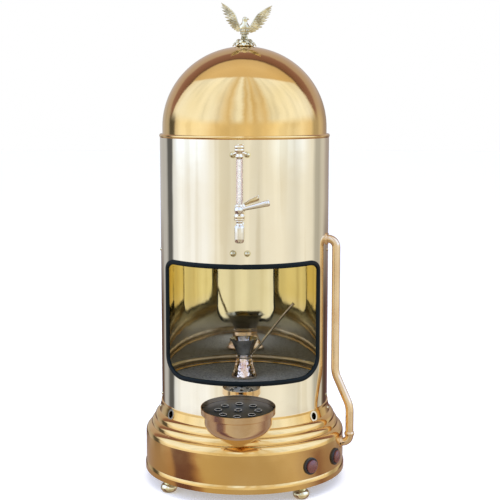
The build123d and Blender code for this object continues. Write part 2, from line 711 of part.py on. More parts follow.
@node("tank_strap")
def tank_strap():
    low = min(CAP_NUT_ZS) - STRAP_END
    high = max(CAP_NUT_ZS) + STRAP_END
    strap = tube(SHELL_INNER_R - FIT_GAP, SHELL_INNER_R - FIT_GAP - STRAP_WALL, low, high)
    strap = strap & block((-STRAP_WIDTH / 2, STRAP_WIDTH / 2), (-SHELL_R, 0), (low, high))
    strap -= NODES["tank_seat_ring"]
    strap -= tube(SHELL_R, SHELL_INNER_R - SEAT_RING_SHELF - 1, low - 1, TANK_BOTTOM_Z)
    strap -= along_front(0, TAP_Z, TAP_STEM_R, TANK_R - 20, SHELL_R + CUT)
    strap -= along_front(0, GAUGE_STEM_Z, GAUGE_STEM_R, TANK_R, SHELL_R + CUT)
    for x, z in cap_nut_places():
        strap += along_front(x, z, STUD_R, SHELL_INNER_R - FIT_GAP - STRAP_WALL / 2, SHELL_R + 6)
    return strap - NODES["tank_seat_ring"] - NODES["water_tank"]


def cap_nut(x, z):
    place = Plane(origin=(x, -SHELL_R, z), x_dir=(1, 0, 0), z_dir=(0, -1, 0))
    nut = rod(CAP_NUT_WASHER_R, -0.6, 1.4) + hexagon(CAP_NUT_R, 1, 5)
    nut += Pos(0, 0, 4.5) * Sphere(0.88 * CAP_NUT_R)
    nut = place * (nut & rod(CAP_NUT_WASHER_R, -1, 10)) - rod(SHELL_R, SHELL_BOTTOM_Z, SHELL_TOP_Z)
    return nut - along_front(x, z, STUD_R, SHELL_R - 5, SHELL_R + 6)


for index, (x, z) in enumerate(cap_nut_places()):
    NODES[f"cap_nut_{index}"] = cap_nut(x, z)


# ---------------------------------------------------------------- gauge and tap
@node("gauge_top")
def gauge_top():
    cap = rod(GAUGE_CAP_R, GAUGE_TOP_Z - GAUGE_CAP_HEIGHT, GAUGE_TOP_Z)
    cap = fillet(cap.edges().group_by(Axis.Z)[-1], 1.2)
    neck = rod(GAUGE_NECK_R, GLASS_TOP_Z, GAUGE_TOP_Z - GAUGE_CAP_HEIGHT / 2)
    fitting = Pos(0, AXIS_Y, 0) * (cap + neck)
    fitting += along_front(0, GAUGE_STEM_Z, GAUGE_STEM_R, SHELL_INNER_R - FIT_GAP - STRAP_WALL, -AXIS_Y)
    return fitting - Pos(0, AXIS_Y, 0) * rod(TAP_WATERWAY_R, GLASS_TOP_Z - 1, GAUGE_STEM_Z)


@node("gauge_glass")
def gauge_glass():
    return Pos(0, AXIS_Y, 0) * tube(GLASS_R, GLASS_BORE_R, GLASS_BOTTOM_Z, GLASS_TOP_Z)


@node("tap_body")
def tap_body():
    column = rod(TAP_BARREL_R, TAP_COLLAR_TOP_Z - 1, GLASS_BOTTOM_Z - 3)
    column += rod(GLASS_R + 1, GLASS_BOTTOM_Z - 4, GLASS_BOTTOM_Z)
    column += rod(TAP_COLLAR_R, TAP_COLLAR_BOTTOM_Z, TAP_COLLAR_TOP_Z)
    body = Pos(0, AXIS_Y, 0) * column
    body += along_front(0, TAP_Z, TAP_STEM_R, TANK_R - 14, -AXIS_Y)
    body += along_front(0, TAP_Z, TAP_STEM_R, -AXIS_Y, -HUB_Y - LEVER_HUB_R - 0.5)
    body -= along_front(0, TAP_Z, TAP_WATERWAY_R, TANK_R - 20, -AXIS_Y - 5)
    body -= along_front(0, TAP_Z, TAP_PLUG_R + PLUG_CLEARANCE, -AXIS_Y - 5, -HUB_Y)
    return body - Pos(0, AXIS_Y, 0) * rod(TAP_WATERWAY_R, TAP_COLLAR_BOTTOM_Z - 1, GLASS_BOTTOM_Z + 1)


@node("tap_locknut")
def tap_locknut():
    place = Plane(origin=(0, -(TANK_R - TANK_WALL), TAP_Z), x_dir=(1, 0, 0), z_dir=(0, 1, 0))
    nut = place * hexagon(TAP_STEM_R + 5, 0.6, 7)
    return nut - along_front(0, TAP_Z, TAP_STEM_R, TANK_R - 30, TANK_R + 10)


@node("tap_nozzle")
def tap_nozzle():
    nozzle = spun(
        (0, NOZZLE_BOTTOM_Z),
        (NOZZLE_BORE_R + 1, NOZZLE_BOTTOM_Z),
        ((0.9 * NOZZLE_R, NOZZLE_BOTTOM_Z + 2.2), (NOZZLE_R, NOZZLE_BOTTOM_Z + 7)),
        (NOZZLE_R, NOZZLE_TOP_Z - 5),
        ((0.9 * NOZZLE_R, NOZZLE_TOP_Z - 1.4), (NOZZLE_NECK_R, NOZZLE_TOP_Z)),
        (NOZZLE_NECK_R, TAP_COLLAR_BOTTOM_Z),
        (0, TAP_COLLAR_BOTTOM_Z),
    )
    nozzle -= rod(TAP_WATERWAY_R, NOZZLE_BOTTOM_Z - 1, TAP_COLLAR_BOTTOM_Z + 1)
    nozzle -= rod(NOZZLE_BORE_R, NOZZLE_BOTTOM_Z - 1, NOZZLE_TOP_Z - 4)
    return Pos(0, AXIS_Y, 0) * nozzle


@node("tap_lever")
def tap_lever():
    cone = spun(
        (0, 0),
        (LEVER_THIN_R, 0),
        (LEVER_THIN_R, LEVER_HUB_R + 1),
        (LEVER_THICK_R, LEVER_LENGTH),
        cap(LEVER_THICK_R, LEVER_LENGTH, LEVER_LENGTH + LEVER_THICK_R),
    )
    lever = Pos(0, HUB_Y, TAP_Z) * (Sphere(LEVER_HUB_R) + Rot(0, 90 - LEVER_RISE, 0) * cone)
    plug = along_front(0, TAP_Z, TAP_PLUG_R, -AXIS_Y - 4, -HUB_Y)
    return lever + plug


# ---------------------------------------------------------------- conduit
def conduit_path():
    lower_r = SHELL_R + CONDUIT_LOW_REACH
    upper_r = SHELL_R + CONDUIT_REACH
    return FilletPolyline(
        (SHELL_INNER_R - 1, CONDUIT_TOP_Z),
        (upper_r, CONDUIT_TOP_Z),
        (upper_r, CONDUIT_SLANT_TOP_Z),
        (lower_r, CONDUIT_SLANT_LOW_Z),
        (lower_r, CONDUIT_ENTRY_Z),
        (SKIRT_INNER_R - 1, CONDUIT_ENTRY_Z),
        radius=[CONDUIT_TOP_BEND, CONDUIT_SLANT_BEND, CONDUIT_SLANT_BEND, CONDUIT_LOW_BEND],
    )


@node("conduit_pipe")
def conduit_pipe():
    path = upright(CONDUIT_ANGLE) * conduit_path()
    section = Plane(origin=path @ 0, z_dir=path % 0) * (Circle(CONDUIT_R) - Circle(CONDUIT_R - CONDUIT_WALL))
    return sweep(section, path)


@node("conduit_upper_ferrule")
def conduit_upper_ferrule():
    ring = tube(FERRULE_R, CONDUIT_R, -1, FERRULE_THICKNESS - 1)
    return radial(CONDUIT_ANGLE, SHELL_R, CONDUIT_TOP_Z) * ring - rod(SHELL_R, SHELL_BOTTOM_Z, SHELL_TOP_Z)


@node("conduit_lower_ferrule")
def conduit_lower_ferrule():
    ring = tube(FERRULE_R, CONDUIT_R, -1, FERRULE_THICKNESS - 1)
    return radial(CONDUIT_ANGLE, SKIRT_R, CONDUIT_ENTRY_Z) * ring - rod(SKIRT_R, BASE_BOTTOM_Z, SHELL_BOTTOM_Z)


@node("conduit_collar")
def conduit_collar():
    low = CONDUIT_ENTRY_Z + CONDUIT_LOW_BEND
    ring = spun(
        (CONDUIT_R, 0),
        (COLLAR_R - 1, 0),
        ((COLLAR_R, COLLAR_HEIGHT / 2), (COLLAR_R - 1, COLLAR_HEIGHT)),
        (CONDUIT_R, COLLAR_HEIGHT),
    )
    return upright(CONDUIT_ANGLE) * Pos(SHELL_R + CONDUIT_LOW_REACH, low, 0) * Rot(-90, 0, 0) * ring


# ---------------------------------------------------------------- drip bowl
def at_bowl(shape):
    """Place a shape made about Z, with the rim plane at zero, on the leaning bowl's axis."""
    return Pos(0, BOWL_Y, BOWL_RIM_Z) * Rot(BOWL_TILT, 0, 0) * shape


def bowl_outline(inset, rim_r, ledge, slope):
    """Outline of the bowl from the rim down to the tip, inset by the wall."""
    knee_inset, knee = BOWL_KNEE
    throat_inset, throat = BOWL_THROAT
    body_r = BOWL_BODY_R - inset
    return (
        (rim_r, 0),
        (rim_r, -ledge),
        (body_r, -ledge - slope),
        (body_r, -BOWL_STRAIGHT),
        ((0.93 * body_r, -0.5 * (BOWL_STRAIGHT + knee) - 1), (body_r - knee_inset, -knee + inset)),
        (body_r - throat_inset, -throat + inset),
        (BOWL_TIP_R, -BOWL_DEPTH + 3 + inset),
        (0, -BOWL_DEPTH + inset),
    )


@node("drip_bowl")
def drip_bowl():
    outer = spun((0, 0), *bowl_outline(0, BOWL_RIM_R, BOWL_RIM_HEIGHT, BOWL_RIM_SLOPE))
    ledge = BOWL_RIM_HEIGHT - BOWL_WALL
    inner = spun((0, 0), *bowl_outline(BOWL_WALL, BOWL_RIM_R - BOWL_WALL, ledge, 0))
    hook_y = -(SHELL_R + BRACKET_BASE + HOOK_GAP)
    hook_back = hook_y - (BRACKET_SLOT - 2 * HOOK_GAP)
    half = BRACKET_WIDTH / 2 - HOOK_INSET
    arm_y = BOWL_Y + BOWL_BODY_R - 0.5
    hook = block((-half, half), (hook_back, hook_y), (BRACKET_LOW_Z + BRACKET_FLOOR + 1, HOOK_TOP_Z))
    hook += block((-half, half), (arm_y, hook_y), (HOOK_TOP_Z - HOOK_WALL, HOOK_TOP_Z))
    hook += block((-half, half), (arm_y, hook_back), (HOOK_TOP_Z - 2 * HOOK_WALL, HOOK_TOP_Z))
    return at_bowl(outer) + hook - at_bowl(inner)


@node("drip_strainer")
def drip_strainer():
    low = -(BOWL_RIM_HEIGHT - BOWL_WALL)
    disc = rod(BOWL_RIM_R - BOWL_WALL - STRAINER_GAP, low, low + STRAINER_WALL)
    rims = []
    holes = []
    circle_r = BOWL_BODY_R - STRAINER_HOLE_INSET
    centres = [(0.0, 0.0)]
    for k in range(STRAINER_HOLES):
        turn = 2 * math.pi * k / STRAINER_HOLES
        centres.append((circle_r * math.cos(turn), circle_r * math.sin(turn)))
    rim = rod(STRAINER_HOLE_R + STRAINER_RIM, low, low + STRAINER_WALL + STRAINER_RIM)
    hole = rod(STRAINER_HOLE_R, low - CUT, low + CUT)
    for x, y in centres:
        rims.append(Pos(x, y, 0) * rim)
        holes.append(Pos(x, y, 0) * hole)
    return at_bowl(disc + rims - holes)


@node("bowl_bracket")
def bowl_bracket():
    half = BRACKET_WIDTH / 2
    ear = BRACKET_SCREW_X + BRACKET_EAR
    face_y = -(SHELL_R + BRACKET_BASE)
    lip_y = face_y - BRACKET_SLOT
    plate = block((-ear, ear), (face_y, -SHELL_R + BRACKET_EAR), (BRACKET_LOW_Z, BRACKET_TOP_Z))
    cup = block((-half, half), (lip_y - BRACKET_LIP, face_y + 1), (BRACKET_LOW_Z, BRACKET_TOP_Z))
    pocket = block(
        (-half + BRACKET_WALL, half - BRACKET_WALL),
        (lip_y, face_y),
        (BRACKET_LOW_Z + BRACKET_FLOOR, BRACKET_TOP_Z + 1),
    )
    bracket = plate + cup - pocket - rod(SHELL_R, SHELL_BOTTOM_Z, SHELL_TOP_Z)
    return bracket - bracket_screw_holes()


@node("bracket_screws")
def bracket_screws():
    screws = []
    for x in (-BRACKET_SCREW_X, BRACKET_SCREW_X):
        place = Plane(
            origin=(x, -(SHELL_R + BRACKET_BASE), BRACKET_SCREW_Z),
            x_dir=(1, 0, 0),
            z_dir=(0, -1, 0),
        )
        screws.append(place * screw(BRACKET_BASE + SCREW_LENGTH))
    return Compound(children=screws)


# ---------------------------------------------------------------- dome and finial
@node("dome_shell")
def dome_shell():
    low = SHELL_TOP_Z + 1
    inner_r = DOME_R - DOME_WALL
    outer_arc = EllipticalCenterArc((0, DOME_SPRING_Z), DOME_R, DOME_RISE, arc_size=90)
    inner_arc = EllipticalCenterArc((0, DOME_SPRING_Z), inner_r, DOME_RISE - DOME_WALL, arc_size=90)
    edges = [
        Line((DOME_R, low), (DOME_R, DOME_SPRING_Z)),
        outer_arc,
        Line((0, DOME_TOP_Z), (0, DOME_TOP_Z - DOME_WALL)),
        inner_arc,
        Line((inner_r, DOME_SPRING_Z), (inner_r, low)),
        Line((inner_r, low), (DOME_R, low)),
    ]
    dome = revolve(Plane.XZ * make_face(edges), Axis.Z)
    return dome - rod(STUD_R + STUD_CLEARANCE, DOME_SPRING_Z, DOME_TOP_Z + 1)


@node("dome_collar")
def dome_collar():
    spigot_r = SHELL_INNER_R - SPIGOT_GAP
    bead_r = SHELL_R + COLLAR_BEAD
    middle = SHELL_TOP_Z + COLLAR_BEAD_HEIGHT / 2
    inner_r = DOME_R - DOME_WALL
    return spun(
        (spigot_r - SPIGOT_WALL, SHELL_TOP_Z - SPIGOT_DEPTH),
        (spigot_r, SHELL_TOP_Z - SPIGOT_DEPTH),
        (spigot_r, SHELL_TOP_Z),
        (SHELL_R - 0.5, SHELL_TOP_Z),
        ((bead_r, middle), (SHELL_R - 0.5, SEAM_TOP_Z)),
        (DOME_R, SEAM_TOP_Z),
        (DOME_R, SHELL_TOP_Z + 1),
        (inner_r, SHELL_TOP_Z + 1),
        (inner_r, SHELL_TOP_Z - 1),
    )


@node("finial_base")
def finial_base():
    top = DOME_TOP_Z + FINIAL_BASE_HEIGHT
    base = spun(
        (0, DOME_TOP_Z - 6),
        (FINIAL_BASE_R, DOME_TOP_Z - 6),
        ((FINIAL_BASE_R, DOME_TOP_Z + 2), (0.4 * FINIAL_BASE_R, top - 2)),
        (0.3 * FINIAL_BASE_R, top),
        (0, top),
    )
    for k in range(FINIAL_LEAVES):
        turn = 2 * math.pi * k / FINIAL_LEAVES
        lobe = Pos(FINIAL_BASE_R * math.cos(turn), FINIAL_BASE_R * math.sin(turn), DOME_TOP_Z + 0.5)
        base += lobe * Sphere(FINIAL_LEAF_R)
    arc = EllipticalCenterArc((0, DOME_SPRING_Z), DOME_R, DOME_RISE, arc_size=90)
    floor = Line((0, DOME_SPRING_Z), (DOME_R, DOME_SPRING_Z))
    fill = make_face([floor, arc, Line((0, DOME_TOP_Z), (0, DOME_SPRING_Z))])
    base = base - revolve(Plane.XZ * fill, Axis.Z)
    base = base & rod(2 * FINIAL_BASE_R, DOME_TOP_Z - 5, top + 1)
    return base + rod(STUD_R, DOME_TOP_Z - 12, DOME_TOP_Z + 1)


@node("finial_nut")
def finial_nut():
    under = DOME_TOP_Z - DOME_WALL
    nut = hexagon(NUT_ACROSS_R, under - NUT_HEIGHT - 0.2, under - 0.2)
    return nut - rod(STUD_R, DOME_SPRING_Z, DOME_TOP_Z)


# Wing outlines as (x, height above the dome's top), root first along the leading edge to the tip.
LEFT_WING = (
    (-3, 36), (-13, 36.5), (-15, 53.5), (-26, 64.5), (-41.5, 76.5),
    (-40, 64), (-34.6, 49.5), (-25.7, 35.5), (-13, 24.5), (-3, 23),
)
RIGHT_WING = (
    (3, 30), (10, 32), (18, 46), (24.3, 55), (36.8, 64), (48.5, 69.5),
    (48, 62), (40.4, 48), (31.4, 33.5), (18.9, 26.5), (10, 24.7), (3, 23),
)


def wing(outline):
    points = [(x, DOME_TOP_Z + height) for x, height in outline]
    face = make_face(Polyline(*points, close=True))
    return Pos(0, WING_THICKNESS / 2 + 1, 0) * extrude(Plane.XZ * face, WING_THICKNESS)


@node("finial_bird")
def finial_bird():
    foot_z = DOME_TOP_Z + FINIAL_BASE_HEIGHT
    chest_z = foot_z + 0.6 * BIRD_HEIGHT
    body = spun(
        (0, foot_z),
        (0.35 * BIRD_BODY_R, foot_z),
        (0.35 * BIRD_BODY_R, foot_z + 6),
        ((BIRD_BODY_R, chest_z), (0.45 * BIRD_BODY_R, foot_z + BIRD_HEIGHT)),
        (0, foot_z + BIRD_HEIGHT),
    )
    head_z = foot_z + BIRD_HEIGHT
    head = Pos(1.0, -1.0, head_z) * Sphere(BIRD_HEAD_R)
    beak = Pos(6.5, -1.0, head_z - 1) * Rot(0, 100, 0) * Cone(2.2, 0.5, 5)
    tail = block((-7, 7), (2, 8), (foot_z, foot_z + 14))
    return body + head + beak + tail + wing(LEFT_WING) + wing(RIGHT_WING)


# ---------------------------------------------------------------- coffee pot
def at_pot(shape):
    return Pos(POT_CENTRE[0], POT_CENTRE[1], HEARTH_Z) * shape


@node("cezve_pot")
def cezve_pot():
    neck_z = POT_NECK_HEIGHT
    outer = (
        (POT_BASE_R - 1.5, 0),
        ((POT_BASE_R - 0.3, 0.7), (POT_BASE_R, 2.5)),
        ((0.5 * (POT_BASE_R + POT_NECK_R) - 1, 0.55 * neck_z), (POT_NECK_R, neck_z)),
        ((POT_NECK_R + POT_BEAD_R, neck_z + POT_BEAD_R), (POT_NECK_R, neck_z + 2 * POT_BEAD_R)),
        ((POT_NECK_R + 4, 0.5 * (neck_z + POT_HEIGHT) + 1), (POT_RIM_R, POT_HEIGHT)),
    )
    inner = (
        (POT_BASE_R - POT_WALL, POT_WALL + 1.5),
        ((0.5 * (POT_BASE_R + POT_NECK_R) - 1 - POT_WALL, 0.55 * neck_z), (POT_NECK_R - POT_WALL, neck_z)),
        (POT_NECK_R - POT_WALL, neck_z + 2 * POT_BEAD_R),
        ((POT_NECK_R + 4 - POT_WALL, 0.5 * (neck_z + POT_HEIGHT) + 1), (POT_RIM_R - POT_WALL, POT_HEIGHT)),
    )
    body = spun((0, 0), *outer, (0, POT_HEIGHT))
    hollow = spun((0, POT_WALL + 1.5), *inner, (0, POT_HEIGHT))
    return at_pot(body - hollow)


def pot_envelope():
    """The coffee pot with its inside filled, which the handle's foot butts against."""
    neck_z = POT_NECK_HEIGHT
    return spun(
        (0, neck_z),
        (POT_NECK_R, neck_z),
        ((POT_NECK_R + POT_BEAD_R, neck_z + POT_BEAD_R), (POT_NECK_R, neck_z + 2 * POT_BEAD_R)),
        ((POT_NECK_R + 4, 0.5 * (neck_z + POT_HEIGHT) + 1), (POT_RIM_R, POT_HEIGHT)),
        (0, POT_HEIGHT),
    )


@node("cezve_handle")
def cezve_handle():
    start = Vector(POT_NECK_R + HANDLE_FOOT[0], HANDLE_FOOT[1], POT_NECK_HEIGHT + HANDLE_FOOT[2])
    run = Vector(*HANDLE_RUN)
    end = start + run
    bar = Plane(origin=start, z_dir=run.normalized()) * rod(HANDLE_R, 0, run.length)
    grip = Pos(end.X, end.Y, end.Z) * Sphere(HANDLE_R)
    socket = Plane(origin=start, z_dir=run.normalized()) * rod(1.6 * HANDLE_R, -4, 12)
    handle = at_pot(bar + grip + socket)
    return handle - at_pot(pot_envelope())


os.makedirs("parts", exist_ok=True)
for name, shape in NODES.items():
    export_step(shape, f"parts/{name}.step")
print(len(NODES), "sub-parts written")
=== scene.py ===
import json
import math
import random

import bmesh
import bpy
from mathutils import Matrix, Vector, noise


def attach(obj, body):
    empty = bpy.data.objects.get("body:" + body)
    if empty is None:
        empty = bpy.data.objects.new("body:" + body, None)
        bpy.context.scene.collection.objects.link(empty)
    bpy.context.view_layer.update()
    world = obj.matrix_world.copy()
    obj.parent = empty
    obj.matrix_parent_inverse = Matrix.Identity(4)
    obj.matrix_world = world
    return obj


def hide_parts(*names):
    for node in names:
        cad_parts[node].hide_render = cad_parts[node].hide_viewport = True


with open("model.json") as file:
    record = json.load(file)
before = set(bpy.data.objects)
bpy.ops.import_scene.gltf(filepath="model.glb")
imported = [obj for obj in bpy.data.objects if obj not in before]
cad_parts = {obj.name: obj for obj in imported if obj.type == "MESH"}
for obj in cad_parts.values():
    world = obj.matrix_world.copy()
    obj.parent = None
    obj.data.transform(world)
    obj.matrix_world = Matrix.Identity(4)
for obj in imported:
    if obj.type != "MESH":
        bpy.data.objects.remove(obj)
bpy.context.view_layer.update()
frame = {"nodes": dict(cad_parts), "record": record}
NODES = frame["nodes"]

MM = 0.001

# ---------------------------------------------------------------- camera
CAMERA_PLACE = (0.1018, -2.1079, 0.684)
CAMERA_PITCH = 7.236
CAMERA_TURN = 2.5
CAMERA_LENS = 85.15


def make_camera():
    camera = bpy.data.objects.new("camera", bpy.data.cameras.new("camera"))
    camera.data.lens = CAMERA_LENS
    camera.data.sensor_width = 36
    camera.location = CAMERA_PLACE
    camera.rotation_euler = (math.radians(90 - CAMERA_PITCH), 0, math.radians(CAMERA_TURN))
    bpy.context.collection.objects.link(camera)
    bpy.context.scene.camera = camera


# ---------------------------------------------------------------- node trees
class Tree:
    """A node tree with short calls: add makes a node, and a value that is a socket is linked."""

    def __init__(self, tree):
        self.tree = tree

    def add(self, kind, settings=None, **inputs):
        made = self.tree.nodes.new("ShaderNode" + kind)
        for key, value in (settings or {}).items():
            setattr(made, key, value)
        for key, value in inputs.items():
            self.set(made, key.replace("_", " "), value)
        return made

    def set(self, made, key, value):
        socket = made.inputs[int(key)] if key.isdigit() else made.inputs[key]
        if isinstance(value, bpy.types.NodeSocket):
            self.tree.links.new(value, socket)
        else:
            socket.default_value = value

    def math(self, operation, first, second=0.0, third=0.0):
        made = self.add("Math", {"operation": operation})
        for index, value in enumerate((first, second, third)):
            self.set(made, str(index), value)
        return made.outputs[0]

    def vector(self, x, y, z):
        return self.add("CombineXYZ", X=x, Y=y, Z=z).outputs[0]

    def noise(self, vector, scale, detail=3.0, roughness=0.5):
        made = self.add("TexNoise", Vector=vector, Scale=scale, Detail=detail, Roughness=roughness)
        return made.outputs["Fac"]

    def ramp(self, value, stops, smooth=False):
        made = self.add("ValToRGB", Fac=value)
        made.color_ramp.interpolation = "EASE" if smooth else "LINEAR"
        elements = made.color_ramp.elements
        while len(elements) < len(stops):
            elements.new(0.5)
        for element, (place, colour) in zip(elements, stops):
            element.position = place
            element.color = (*colour, 1) if len(colour) == 3 else colour
        return made.outputs["Color"]

    def grey_ramp(self, value, stops, smooth=False):
        return self.ramp(value, [(place, (level, level, level)) for place, level in stops], smooth)

    def strong_ramp(self, value, panels):
        """A ramp whose levels may pass one, warm where dim and cool where bright."""
        stops = []
        for angle, level in panels:
            share = min(1.0, max(0.0, (level - 0.8) / 0.35))
            tint = [warm + (cool - warm) * share for warm, cool in zip(WARM, COOL)]
            stops.append(((angle + 180) / 360, tuple(0.5 * level * part for part in tint)))
        return self.multiply(self.ramp(value, stops), (2.0, 2.0, 2.0))

    def multiply(self, first, second):
        made = self.add("Mix", {"data_type": "RGBA", "blend_type": "MULTIPLY"})
        made.inputs[0].default_value = 1.0
        self.set_colours(made, first, second)
        return next(socket for socket in made.outputs if socket.type == "RGBA")

    def set_colours(self, made, first, second):
        colour_inputs = [socket for socket in made.inputs if socket.type == "RGBA"]
        for socket, value in zip(colour_inputs, (first, second)):
            if isinstance(value, bpy.types.NodeSocket):
                self.tree.links.new(value, socket)
            else:
                socket.default_value = (*value, 1)

    def mix(self, fac, first, second):
        made = self.add("Mix", {"data_type": "RGBA"})
        self.set(made, "0", fac)
        self.set_colours(made, first, second)
        return next(socket for socket in made.outputs if socket.type == "RGBA")


# ---------------------------------------------------------------- studio
# The surroundings aren't plain: these levels are set for what the polished metal reflects. The
# camera sees PALE instead.
PALE = (1.0, 1.0, 1.0)
# Soft panels round the object: (compass angle from the front in degrees, brightness).
STUDIO_PANELS = (
    (-180, 0.46), (-158, 0.56), (-133, 0.54), (-128, 0.44), (-124, 0.13), (-113, 0.12), (-108, 0.84),
    (-96, 1.10), (-52, 1.10), (-46, 1.04), (-38, 0.98), (-32, 0.94), (-28, 0.88), (-8, 0.78), (3, 0.86),
    (8, 0.90), (20, 0.80), (32, 0.91), (44, 0.94), (54, 0.96), (62, 0.88), (76, 0.80), (90, 0.95),
    (108, 0.84), (115, 0.50), (124, 0.46), (132, 0.62), (139, 0.60), (148, 0.42), (165, 0.36), (180, 0.42),
)
# Extra light in a strip just under the horizon, seen by the dome's upright wall.
GLOW = (
    (-180, (1.0, 1.0, 1.0)), (-108, (1.0, 1.0, 1.0)), (-100, (1.14, 1.24, 1.42)), (-60, (1.14, 1.24, 1.42)),
    (-44, (1.0, 1.0, 1.0)), (32, (1.0, 1.0, 1.0)), (52, (1.14, 1.24, 1.42)), (88, (1.16, 1.26, 1.50)),
    (104, (1.0, 1.0, 1.0)), (180, (1.0, 1.0, 1.0)),
)
# What darkens the foot of the walls behind, seen at the edges of the lower body.
REAR_SHADE = (
    (-180, (0.34, 0.24, 0.20)), (-158, (0.24, 0.15, 0.11)), (-148, (0.24, 0.15, 0.11)),
    (-141, (1.0, 1.0, 1.0)), (136, (1.0, 1.0, 1.0)), (140, (0.34, 0.28, 0.24)),
    (147, (0.16, 0.10, 0.09)), (165, (0.52, 0.34, 0.34)), (180, (0.44, 0.30, 0.28)),
)
# The same panels higher up, where only the dome, the steps and the small fittings see them.
HIGH_PANELS = (
    (-180, 0.50), (-125, 0.40), (-118, 1.00), (-106, 1.24), (-72, 1.32), (-48, 1.26), (-36, 1.08),
    (-20, 0.84), (-9, 1.28), (-2, 1.22), (4, 0.76), (11, 1.02), (16, 0.78), (24, 0.98), (32, 0.88),
    (42, 1.14), (66, 1.34), (96, 1.30), (112, 1.12), (122, 0.70), (130, 0.40), (150, 0.48), (180, 0.50),
)
# The table top, seen by the base and the underside of the bowl.
TABLE = (
    (-180, (0.40, 0.34, 0.34)), (-104, (0.42, 0.32, 0.26)), (-90, (0.46, 0.32, 0.24)),
    (-86, (0.15, 0.08, 0.11)), (-64, (0.17, 0.09, 0.10)), (-54, (0.44, 0.28, 0.20)),
    (-50, (0.62, 0.54, 0.40)), (-10, (0.54, 0.47, 0.38)),
    (30, (0.52, 0.44, 0.33)), (62, (0.64, 0.56, 0.46)), (84, (0.44, 0.34, 0.30)), (96, (0.26, 0.15, 0.14)),
    (112, (0.36, 0.26, 0.22)), (180, (0.40, 0.34, 0.34)),
)
# Overhead and behind, by how far a direction faces forward (0 behind, 1 in front).
OVERHEAD = (
    (0.0, (0.58, 0.54, 0.58)), (0.19, (0.52, 0.46, 0.48)), (0.225, (0.32, 0.20, 0.22)),
    (0.335, (0.24, 0.14, 0.15)), (0.360, (0.13, 0.08, 0.09)), (0.386, (0.70, 0.63, 0.55)),
    (0.52, (0.82, 0.74, 0.64)), (0.72, (0.74, 0.66, 0.56)),
)
WARM = (1.0, 0.94, 0.80)
COOL = (0.84, 1.04, 1.60)
# The fabric folds, by noise level, and the tint of the walls, by turn from behind (0) round to behind (1).
DRAPES = (
    (0.36, (0.90, 0.88, 0.84)), (0.46, (1.0, 1.0, 1.0)), (0.60, (1.0, 1.0, 1.0)), (0.66, (1.04, 1.04, 1.04)),
)
WALL_TINT = (
    (0.0, (0.95, 0.90, 0.88)), (0.2, (0.92, 0.955, 1.05)), (0.36, (0.93, 0.96, 1.04)),
    (0.42, (1.0, 0.97, 0.88)), (0.75, (1.0, 0.98, 0.92)), (0.88, (1.0, 0.95, 0.86)),
    (0.92, (1.0, 0.86, 0.80)), (1.0, (1.0, 0.86, 0.82)),
)


def panel_stops(panels):
    return [((angle + 180) / 360, (level, level, level)) for angle, level in panels]


def colour_stops(panels):
    return [((angle + 180) / 360, colour) for angle, colour in panels]


